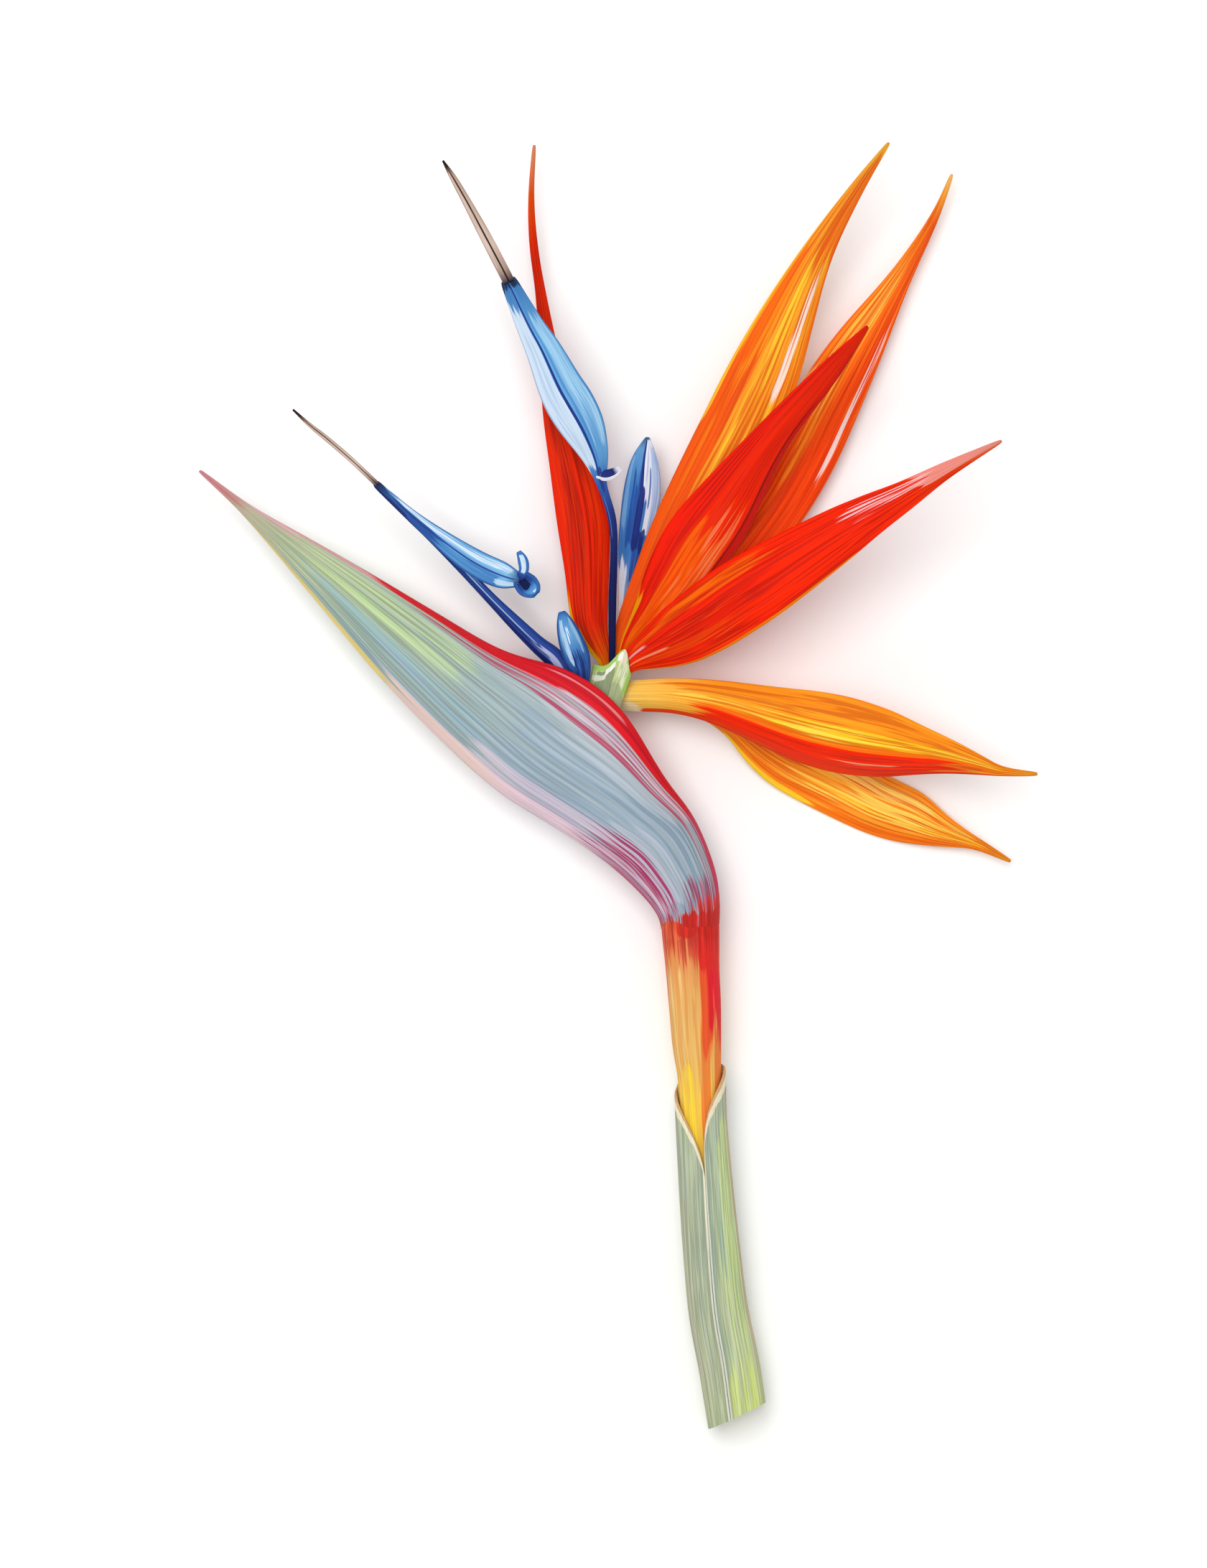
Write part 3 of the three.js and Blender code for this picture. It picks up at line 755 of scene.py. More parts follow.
class FLOWER_OT_sheath(bpy.types.Operator):
    """Builds the leaf sheath rolled round the stalk, with its seam and slanting mouth"""

    bl_idname = "flower.sheath"
    bl_label = "Sheath"

    def execute(self, context):
        rows, columns = 28, 36
        table = smooth_rows(STEM, STEM_ROWS)
        wall = context.scene.flower_sizes.sheath_wall

        def place_at(along_share, across_share):
            share = 2 * across_share - 1
            reach = (1 - abs(share)) ** MARGIN_CROWDING
            from_seam = SHEATH_HALF_GAP + (math.pi - SHEATH_HALF_GAP) * reach
            mouth = MOUTH_LEFT if share < 0 else MOUTH_RIGHT
            top = NOTCH_Y + mouth_rise(from_seam, **mouth)
            y = STEM[0][1] + along_share * (top - STEM[0][1])
            (x, y, lift, inner, outer), along = stem_at(table, y)
            side = Vector((along.y, -along.x, 0)).normalized()
            face = side.cross(along)
            radius = max(outer, inner + SEAT_GAP + wall / MM) * MM
            angle = (-from_seam if share < 0 else from_seam) - SEAM_TURN * (1 - along_share)
            return place(x, y, lift) + side * radius * math.sin(angle) + face * radius * math.cos(angle)

        piece = flat_strip("leaf_sheath", columns, rows)
        set_places(piece, columns, rows, place_at)
        piece.data.flip_normals()
        thicken(piece, wall, offset=-1)
        soften(piece)
        cut_away(piece, CUT_CENTRE, CUT_NORMAL)
        flatten_underside(piece)
        # A dull, waxy leaf base: the bloom makes it grey-green and soft, its veins run the
        # whole length, and its dry margins are cream.
        # Across: 0 and 1 are the two margins, which meet at the seam on top.
        skin = living_skin(
            "sheath_skin_waxy",
            [
                (0, "#b3c084"),
                (0.25, "#b1b990"),
                (0.6, context.scene.flower_colours.sheath_skin),
                (0.9, "#a6b29a"),
                (1, "#a9b492"),
            ],
            [
                tint("#a0a98a", (0, 0.02, 0.3, 0.45), WHOLE, 0.7, 0.9),
                tint("#94a4a2", (0.03, 0.08, 0.26, 0.34), (0.1, 0.3, 1, 1.1), 0.6, 0.5),
                tint("#b3aa88", (0.12, 0.2, 0.36, 0.46), (0.1, 0.2, 0.7, 0.9), 0.55, 0.5),
                tint("#c3d68a", (0.6, 0.68, 0.85, 0.92), (0, 0, 0.8, 0.95), 0.85, 0.9),
                tint("#cfdf70", (0.62, 0.7, 0.9, 0.96), (0, 0, 0.16, 0.36), 0.8, 0.85),
                tint("#92ac9e", (0.78, 0.85, 0.94, 0.97), (0.1, 0.3, 0.95, 1), 0.8, 0.7),
                tint("#869480", (0.05, 0.09, 0.9, 0.95), WHOLE, 0.4, 0.45, 1),
                tint("#d9dfbc", (0.06, 0.1, 0.9, 0.94), WHOLE, 0.4, 0.42, 2),
                tint("#bf948a", (0.64, 0.67, 0.7, 0.73), WHOLE, 0.6, 0.9),
                tint("#a89a78", (0.27, 0.3, 0.33, 0.36), WHOLE, 0.55, 0.9),
                # Painted shade: a darker grey-green line just inside each margin, beside the seam.
                *beside_both_margins("#8d9a80", (0.045, 0.058, 0.07, 0.1), WHOLE, 0.35, 1.0),
                *beside_both_margins("#dfe1d0", (0, 0, 0.044, 0.056), WHOLE, 0.95),
                *beside_both_margins("#f1ecd2", (0, 0, 0.036, 0.052), (0.66, 0.76, 1, 1.1), 0.95),
                tint("#efe6c6", WHOLE, (0.955, 0.972, 1, 1.1), 0.95, 1.15),
                tint("#c08a50", WHOLE, (0.986, 0.995, 1, 1.1), 0.75, 1.15),
            ],
            broad=22,
            fine=80,
            run=1.8,
            relief=0.16,
            roughness=(0.55, 0.72),
            shine=0.1,
            glow=0.02,
            veins=0.08,
            tone=0.96,
            richness=1.0,
        )
        stand_for(piece, skin, "sheath_skin", "sheath")
        paint_cut(piece, cut_pith("sheath_cut_pith"))
        return {"FINISHED"}


# The spathe

SHOULDER_TILT = 0.35  # rise of the neck's right end, and fall of its left
# From the neck to the beak's tip: [keel x, keel y, margin x, margin y, half-thickness,
# half-angle of the slit in radians].
SPATHE = [
    [9.6, -31.5 - SHOULDER_TILT, 22.6, -31.5 + SHOULDER_TILT, 6.5, 0.03],
    [8.9, -28.9, 22.7, -25.0, 6.8, 0.03],
    [6.4, -25.2, 21.5, -17.4, 7.6, 0.03],
    [0.8, -19.6, 17.1, -6.6, 9.0, 0.06],
    [-5.8, -14.4, 10.4, 2.8, 10.2, 0.35],
    [-15.6, -8.0, 1.0, 17.6, 10.7, 0.7],
    [-27.0, -0.8, -10.4, 26.2, 10.2, 0.66],
    [-40.0, 10.9, -25.8, 31.0, 8.6, 0.3],
    [-53.8, 25.3, -41.0, 39.6, 6.6, 0.12],
    [-65.4, 39.2, -56.0, 48.5, 4.6, 0.1],
    [-76.0, 51.9, -70.4, 56.6, 2.8, 0.1],
    [-84.6, 61.8, -81.6, 62.9, 1.5, 0.1],
    [-93.7, 70.5, -93.1, 71.1, 0.7, 0.1],
]
KEEL_PINCH = 0.28  # how far the sides draw in at the keel
SLIT_MINIMUM = 0.03  # radians
BEAK_WALLS = 2.2  # the wall thins where the beak's half-thickness is under so many walls


class FLOWER_OT_spathe(bpy.types.Operator):
    """Builds the spathe, a stiff folded bract that opens along its upper edge"""

    bl_idname = "flower.spathe"
    bl_label = "Spathe"

    def execute(self, context):
        rows, columns = 48, 36
        wall = context.scene.flower_sizes.spathe_wall
        smooth = smooth_rows(SPATHE, rows)

        def place_at(along_share, across_share):
            station = smooth[round(along_share * rows)]
            keel_x, keel_y, margin_x, margin_y, half_thickness, half_slit = station
            keel, margin = place(keel_x, keel_y, 0), place(margin_x, margin_y, 0)
            slit = max(half_slit, SLIT_MINIMUM)
            angle = slit + (2 * math.pi - 2 * slit) * across_share
            height = math.cos(angle)
            pinch = 1 - KEEL_PINCH * height**2 if height < 0 else 1
            rise = height / math.cos(slit) if height > 0 else height
            sideways = half_thickness * MM * pinch * math.sin(angle)
            return (keel + margin) / 2 + (margin - keel) / 2 * rise + Vector((0, 0, sideways))

        piece = flat_strip("spathe_folded", columns, rows)
        set_places(piece, columns, rows, place_at)
        piece.data.flip_normals()
        walls = piece.vertex_groups.new(name="wall")
        for row, station in enumerate(smooth):
            share = min(1, station[4] * MM / (BEAK_WALLS * wall))
            first = row * (columns + 1)
            walls.add(list(range(first, first + columns + 1)), share, "REPLACE")
        thicken(piece, wall, offset=-1, vertex_group="wall")
        soften(piece)
        flatten_underside(piece)
        colours = context.scene.flower_colours
        red = colours.spathe_margin
        # A hard, waxy bract: its bloom is a soft blue-grey with dull shine, close straight
        # veins run its whole length, and its margins and keel are flushed with red and pink.
        # Across: 0 is a margin and 1 the keel. Along: 0 is the neck and 1 the beak's tip.
        skin = living_skin(
            "spathe_skin_waxy",
            [
                (0.0, "#b08a9c"),
                (0.05, "#a0a6b6"),
                (0.18, "#9cadb8"),
                (0.42, colours.spathe_skin),
                (0.58, "#9fb4b4"),
                (0.72, "#b3c6ab"),
                (0.84, "#c4cba6"),
                (0.92, "#ccc2a6"),
                (0.955, "#e0aca4"),
                (1.0, "#f2b6b8"),
            ],
            [
                tint("#bcd694", (0.16, 0.28, 0.46, 0.62), (0.54, 0.63, 0.76, 0.88), 0.7, 0.7),
                tint("#9aba84", (0.3, 0.4, 0.6, 0.78), (0.6, 0.68, 0.84, 0.9), 0.5, 0.48, 1),
                tint("#d3e0aa", (0.2, 0.3, 0.5, 0.66), (0.58, 0.66, 0.78, 0.88), 0.42, 0.42, 2),
                tint("#8ab0bc", (0.45, 0.56, 0.8, 0.9), (0.5, 0.58, 0.76, 0.86), 0.65, 0.6),
                tint("#a2bede", (0.5, 0.6, 0.86, 0.95), (0.24, 0.36, 0.64, 0.78), 0.55, 0.45),
                tint("#94aabc", (0.22, 0.34, 0.78, 0.92), (0.08, 0.2, 0.46, 0.6), 0.7, 1.0),
                tint("#7f98ac", (0.2, 0.3, 0.48, 0.64), (0.03, 0.1, 0.28, 0.42), 0.62, 0.7),
                tint("#bfc2ce", (0.4, 0.5, 0.66, 0.76), (0.09, 0.14, 0.3, 0.4), 0.7, 0.75),
                tint("#869aa4", (0.15, 0.25, 0.92, 1), (0.05, 0.14, 0.66, 0.82), 0.38, 0.46, 1),
                tint("#c2ccd2", (0.15, 0.22, 0.8, 0.9), (0.1, 0.2, 0.58, 0.76), 0.38, 0.4, 2),
                tint("#8f9b8c", (0.2, 0.3, 0.9, 1), (0.5, 0.6, 0.87, 0.93), 0.45, 0.45, 1),
                tint("#d6cad6", (0.58, 0.68, 0.85, 0.93), (0.28, 0.37, 0.52, 0.6), 0.85, 0.95),
                tint("#b7a6c4", (0.5, 0.66, 0.9, 0.98), (0.04, 0.14, 0.45, 0.58), 0.5, 0.5, 2),
                tint("#f6d4cb", (0.74, 0.82, 1, 1.1), (0.42, 0.5, 0.63, 0.7), 0.9, 0.95),
                tint("#eed0da", (0.72, 0.8, 1, 1.1), (0.26, 0.34, 0.48, 0.56), 0.88, 0.95),
                tint("#f6d980", (0.8, 0.86, 1, 1.1), (0.62, 0.69, 0.88, 0.93), 0.95, 1.05),
                tint("#cdb0c6", (0.6, 0.72, 1, 1.1), (0.04, 0.12, 0.32, 0.42), 0.75, 0.8),
                tint("#b02a62", (0.5, 0.68, 1, 1.1), (0, 0.03, 0.28, 0.42), 0.95, 0.64, 1),
                tint("#e6d0dc", (0.6, 0.7, 1, 1.1), (0.04, 0.1, 0.32, 0.44), 0.6, 0.36, 2),
                tint("#b62c58", (0.86, 0.92, 1, 1.1), (0, 0.03, 0.24, 0.36), 0.8, 0.9),
                tint("#f4c2c4", (0, 0, 0.2, 0.42), (0.78, 0.86, 1, 1.1), 0.85, 0.8),
                tint("#dd5a6a", (0.1, 0.2, 0.9, 1), (0.89, 0.94, 1, 1.1), 0.8, 0.42, 1),
                tint("#eaa2a8", (0, 0, 0.12, 0.2), (0.66, 0.74, 0.9, 0.95), 0.85, 0.8),
                tint("#e6c4d2", (0.1, 0.13, 0.17, 0.24), (0.2, 0.28, 0.52, 0.64), 0.75, 0.9),
                tint("#cfd3da", (0.14, 0.19, 0.27, 0.38), (0.22, 0.3, 0.44, 0.56), 0.42, 0.7),
                tint("#be2a58", (0.12, 0.15, 0.22, 0.28), (0.06, 0.16, 0.6, 0.74), 0.85, 0.44, 1),
                tint("#cf2450", (0, 0, 0.11, 0.18), (0, 0.02, 0.27, 0.34), 0.95, 1.0),
                tint(red, (0, 0, 0.105, 0.15), (0.22, 0.3, 0.54, 0.64), 1.0, 1.15),
                tint(red, (0, 0, 0.12, 0.19), (0.44, 0.52, 0.66, 0.78), 1.0, 1.05),
                tint("#a81228", (0.02, 0.04, 0.1, 0.14), (0.22, 0.3, 0.5, 0.6), 0.55, 0.42, 1),
                # Painted highlight: a thin pale pink line along the rolled red margin.
                tint("#f7b0b2", (0.03, 0.045, 0.055, 0.075), (0.36, 0.42, 0.5, 0.57), 0.6, 0.8),
                tint("#c8325a", (0, 0, 0.4, 0.6), (0, 0, 0.1, 0.2), 0.7, 0.5, 2),
                tint("#96305a", (0.12, 0.2, 0.46, 0.62), (0.05, 0.08, 0.14, 0.19), 0.75, 0.42, 1),
                tint("#d8322a", (0, 0, 0.34, 0.55), (0, 0, 0.075, 0.13), 0.95, 0.8, 1),
                tint("#c63a30", WHOLE, (0, 0, 0.05, 0.1), 0.92, 0.6, 1),
                tint("#d6603e", (0.5, 0.62, 1, 1.1), (0, 0, 0.022, 0.045), 0.95, 0.95),
                tint("#d6281f", (0, 0, 0.5, 0.66), (0, 0, 0.05, 0.085), 1.0, 1.05),
                tint("#9e2422", (0, 0, 0.7, 0.85), (0, 0, 0.05, 0.11), 0.5, 0.42, 1),
            ],
            mirrored=True,
            broad=30,
            fine=120,
            run=2.2,
            relief=0.18,
            roughness=(0.5, 0.68),
            shine=0.12,
            glow=0.02,
            veins=0.12,
            tone=0.9,
            richness=1.0,
        )
        stand_for(piece, skin, "spathe_skin", "spathe")
        return {"FINISHED"}


# The bractlet and the ovaries

# A squashed tube, open on its right, whose angles are in radians from that side.
BRACTLET = {
    "foot": Vector((-4.6, 13.6, 0)),
    "mouth": Vector((-0.9, 26.3, 0)),
    "foot_half": (4.2, 4.6),
    "mouth_half": (4.9, 5.4),
    "squareness": 0.6,
    "half_opening": 0.55,
    "point": {"height": 5.4, "angle": 1.35, "spread": 0.42},
}
OVARIES = {
    "ovary_1": [
        [14.2, -20.6, 0, 1.4],
        [12.6, -17.6, 0, 1.6],
        [8.6, -9.0, 0, 1.9],
        [1.6, 3.6, 0, 2.4],
        [-4.0, 13.4, 0, 2.4],
        [-3.1, 18.6, 0, 2.3],
        [-1.0, 24.1, 0, 2.1],
    ],
    "ovary_2": [
        [11.3, -22.1, 0, 1.4],
        [9.4, -18.6, 0.2, 1.6],
        [3.4, -10.4, 0.4, 1.9],
        [-4.2, -0.4, 0.8, 2.2],
        [-10.4, 10.4, 1.0, 2.3],
        [-11.1, 19.9, 1.0, 1.8],
    ],
}


class FLOWER_OT_bractlet(bpy.types.Operator):
    """Builds the small folded bract round the flowers' bases, with its one raised point"""

    bl_idname = "flower.bractlet"
    bl_label = "Bractlet"

    def execute(self, context):
        rows, columns = 14, 28
        foot, mouth = BRACTLET["foot"], BRACTLET["mouth"]
        opening = BRACTLET["half_opening"]
        point = BRACTLET["point"]
        up = (mouth - foot).normalized()
        across = Vector((up.y, -up.x, 0))

        def place_at(along_share, across_share):
            angle = opening + (2 * math.pi - 2 * opening) * across_share
            rise = point["height"] * math.exp(-(((angle - point["angle"]) / point["spread"]) ** 2))
            width, depth = (
                a + (b - a) * along_share
                for a, b in zip(BRACTLET["foot_half"], BRACTLET["mouth_half"])
            )
            sine = math.sin(angle)
            height = depth * math.copysign(abs(sine) ** BRACTLET["squareness"], sine)
            length = (mouth - foot).length + rise
            flat = foot + up * along_share * length + across * width * math.cos(angle)
            return place(flat.x, flat.y, height)

        piece = flat_strip("bractlet_folded", columns, rows)
        set_places(piece, columns, rows, place_at)
        piece.data.flip_normals()
        thicken(piece, context.scene.flower_sizes.bractlet_wall, offset=-1)
        soften(piece)
        # A small, dull, fleshy bract: pale green, with a painted highlight of creamy white along its
        # raised fold, painted shade of dark grey-green beside the fold and low on its open side,
        # and a fresher green where it is thinnest, along its rim.
        # Across runs from the open right side over the top, at 0.2, to the left and under.
        skin = living_skin(
            "bractlet_skin",
            [(0, "#b4bd96"), (0.5, context.scene.flower_colours.bractlet_skin), (1, "#bcd080")],
            [
                tint("#dfe6c4", (0.03, 0.07, 0.15, 0.19), (0.55, 0.7, 0.9, 1), 0.75, 0.85),
                # Painted shade: dark grey-green in the lower half beside the open side.
                tint("#8d9a7c", (0, 0, 0.16, 0.22), (0.1, 0.2, 0.52, 0.66), 0.55, 0.85),
                # Painted shade: dark grey-green on the facet beside the raised fold.
                tint("#76836a", (0.17, 0.2, 0.3, 0.4), (0.3, 0.45, 0.86, 0.92), 0.8, 0.95),
                tint("#a0ae86", (0.02, 0.06, 0.5, 0.6), (0, 0.1, 0.8, 0.95), 0.45, 0.42, 1),
                tint("#9ac45c", (0.16, 0.2, 0.5, 0.6), (0.88, 0.93, 1, 1.1), 0.75, 1.0),
                # Painted highlight: two creamy white lines along the raised fold.
                tint("#f6f6ea", (0.14, 0.16, 0.19, 0.22), (0.84, 0.88, 0.95, 0.98), 0.9, 1.05),
                tint("#f6f6ea", (0.18, 0.2, 0.25, 0.28), (0.78, 0.82, 0.88, 0.92), 0.9, 1.05),
                tint("#eef0dc", (0.24, 0.28, 0.38, 0.46), (0.71, 0.76, 0.8, 0.85), 0.75, 1.0),
                tint("#ecd9d4", (0.11, 0.13, 0.15, 0.17), (0.78, 0.86, 1, 1.1), 0.6, 1.0),
                tint("#94c750", (0, 0, 0.04, 0.08), (0.5, 0.66, 0.98, 1.1), 0.8, 1.0),
            ],
            broad=22,
            fine=60,
            run=1.6,
            tone=0.95,
            richness=1.0,
        )
        stand_for(piece, skin, "bract_green", "bractlet")
        return {"FINISHED"}


class FLOWER_OT_ovaries(bpy.types.Operator):
    """Builds the two flowers' ovaries inside the spathe"""

    bl_idname = "flower.ovaries"
    bl_label = "Ovaries"

    def execute(self, context):
        ground = context.scene.flower_colours.bractlet_skin
        # Soft green tissue that stays in the shade of the spathe: paler where it is hidden.
        skin = living_skin(
            "ovary_skin",
            [(0, "#cfd7ae"), (0.6, ground), (1, "#a9c46a")],
            [tint("#8fa866", WHOLE, (0.2, 0.4, 1, 1.1), 0.5, 0.5)],
            broad=10,
            fine=30,
        )
        for name, stations in OVARIES.items():
            stand_for(rod(name + "_rod", stations, rows=20), skin, "bract_green", name)
        return {"FINISHED"}


# The sepals

def blade_section(columns, arch=0.3, crease=0.1, pleats=0.0, fold=None):
    """A blade's cross-section: arched and creased along its middle, pleated lengthwise, and
    turned down beyond a fold at (place across, slope)."""

    def section(column, share):
        lift = arch * (0.5 - share * share) + crease * (0.5 - abs(share))
        if 0 < column < columns:
            lift += pleats * (1 - share * share) * (1 if column % 2 else -1)
        if fold:
            at, slope = fold
            lift += slope * max(0, share - at)
        return share, lift

    return section


def blade(name, stations, wall, columns=14, rows=28, **shape):
    piece = flat_strip(name, columns, rows)
    shape_strip(piece, columns, rows, blade_section(columns, **shape), stations)
    thicken(piece, wall)
    soften(piece)
    return piece


# From base to tip: [x, y, lift above the mid-plane, half-width, roll in degrees].
SEPALS = {
    "sepal_1": [
        [-2.1, 25.2, 0.1, 0.7, 0],
        [-3.2, 29.2, 0.1, 1.6, -2],
        [-6.2, 36.4, 0, 3.9, -5],
        [-6.8, 47.6, -0.5, 4.9, -10],
        [-7.7, 60.4, -1.0, 6.0, -12],
        [-10.5, 73.2, -1.6, 4.9, -12],
        [-13.8, 86.0, -2.2, 3.2, -10],
        [-17.0, 108.4, -3.0, 1.15, -6],
        [-18.9, 121.2, -3.2, 0.8, 0],
        [-19.4, 132.4, -3.2, 0.5, 0],
        [-18.7, 143.6, -3.0, 0.25, 0],
    ],
    "sepal_2": [
        [0.2, 25.3, 0, 0.8],
        [0.1, 30.3, 0.1, 1.3],
        [1.9, 36.1, 0.3, 2.4],
        [6.2, 43.1, 0.8, 4.3],
        [12.3, 54.3, 1.6, 6.3],
        [19.2, 66.3, 2.6, 7.7],
        [26.2, 78.9, 3.6, 8.4],
        [32.2, 91.8, 4.6, 8.0],
        [38.0, 105.6, 5.4, 5.9],
        [44.6, 119.6, 6.2, 3.3],
        [53.1, 133.4, 7.0, 1.5],
        [60.3, 143.6, 7.6, 0.25],
    ],
    "sepal_3": [
        [0.6, 25.2, -2.5, 0.9, 0],
        [3.8, 28.1, -2.8, 1.2, 0],
        [8.6, 32.6, -3.3, 2.2, 2],
        [16.6, 41.2, -4.0, 4.4, 4],
        [25.4, 51.6, -4.6, 6.4, 6],
        [33.4, 62.0, -5.0, 7.6, 8],
        [40.4, 74.2, -5.4, 8.1, 8],
        [46.6, 86.2, -5.6, 7.4, 8],
        [53.8, 99.0, -5.8, 5.7, 6],
        [62.7, 113.5, -6.0, 2.5, 4],
        [70.5, 127.1, -6.0, 0.9, 0],
        [74.6, 137.2, -5.8, 0.25, 0],
    ],
    "sepal_4": [
        [0.4, 25.4, 1.35, 0.8, 0],
        [1.7, 31.1, 1.6, 1.3, 0],
        [4.0, 35.0, 2.4, 2.4, -2],
        [7.8, 39.4, 4.2, 4.6, -5],
        [12.3, 45.6, 6.2, 6.9, -8],
        [17.3, 53.4, 8.0, 8.0, -8],
        [23.2, 61.6, 9.6, 7.5, -8],
        [33.8, 77.4, 12.4, 4.1, -6],
        [46.2, 91.7, 14.8, 2.5, -2],
        [55.4, 102.5, 16.0, 0.25, 0],
    ],
    "sepal_5": [
        [1.0, 25.5, 2.55, 1.2, 0],
        [3.3, 28.5, 3.35, 2.6, 0],
        [11.4, 32.8, 7.2, 6.4, 3],
        [18.5, 37.0, 10.2, 7.8, 6],
        [25.9, 42.0, 12.8, 8.3, 8],
        [33.8, 46.9, 14.8, 7.9, 8],
        [47.4, 55.5, 17.6, 6.2, 8],
        [55.5, 60.4, 18.4, 4.7, 6],
        [63.8, 65.0, 19.6, 3.15, 4],
        [72.3, 70.2, 20.6, 1.8, 0],
        [85.0, 76.9, 21.6, 0.25, 0],
    ],
    "sepal_6": [
        [-0.9, 20.5, 0.0, 3.1, 0],
        [5.2, 20.6, 1.2, 3.5, 0],
        [12.5, 20.5, 2.6, 3.9, -4],
        [21.8, 19.0, 4.2, 5.0, -8],
        [33.9, 15.3, 6.2, 7.3, -12],
        [41.1, 13.1, 7.4, 8.7, -14],
        [49.6, 11.1, 8.4, 9.2, -14],
        [58.9, 9.4, 9.0, 8.0, -12],
        [66.1, 8.2, 9.2, 5.9, -10],
        [73.3, 6.9, 9.2, 3.9, -6],
        [80.3, 5.1, 9.0, 2.1, 0],
        [85.4, 3.7, 8.8, 0.9, 0],
        [93.3, 3.1, 8.6, 0.25, 0],
    ],
    "sepal_7": [
        [1.4, 20.2, -2.2, 1.1],
        [5.4, 20.0, -2.6, 1.3],
        [12.6, 18.8, -3.6, 1.5],
        [19.8, 17.0, -4.8, 1.8],
        [26.0, 14.0, -6.0, 3.0],
        [30.5, 11.0, -6.8, 4.9],
        [36.8, 6.8, -7.8, 6.6],
        [44.2, 3.2, -8.4, 7.2],
        [51.4, -0.2, -8.65, 7.4],
        [58.2, -3.9, -8.6, 6.8],
        [65.4, -6.5, -8.2, 6.1],
        [71.4, -9.3, -7.6, 3.9],
        [77.8, -11.6, -7.2, 1.8],
        [81.8, -13.3, -6.9, 1.0],
        [87.8, -16.5, -6.6, 0.25],
    ],
}
LOWEST_SEPAL = "sepal_7"
RED_SEPALS = ("sepal_1", "sepal_4", "sepal_5")
RICH_RED = 1.08  # how saturated a red sepal is, where an orange one has 1
SEPAL_FOLDS = {"sepal_4": (0.7, -0.5), "sepal_6": (0.35, -0.5)}
SEPAL_TONES = {
    "sepal_1": 0.83,
    "sepal_2": 0.94,
    "sepal_3": 1.0,
    "sepal_4": 0.88,
    "sepal_5": 0.9,
    "sepal_6": 0.96,
    "sepal_7": 0.96,
}


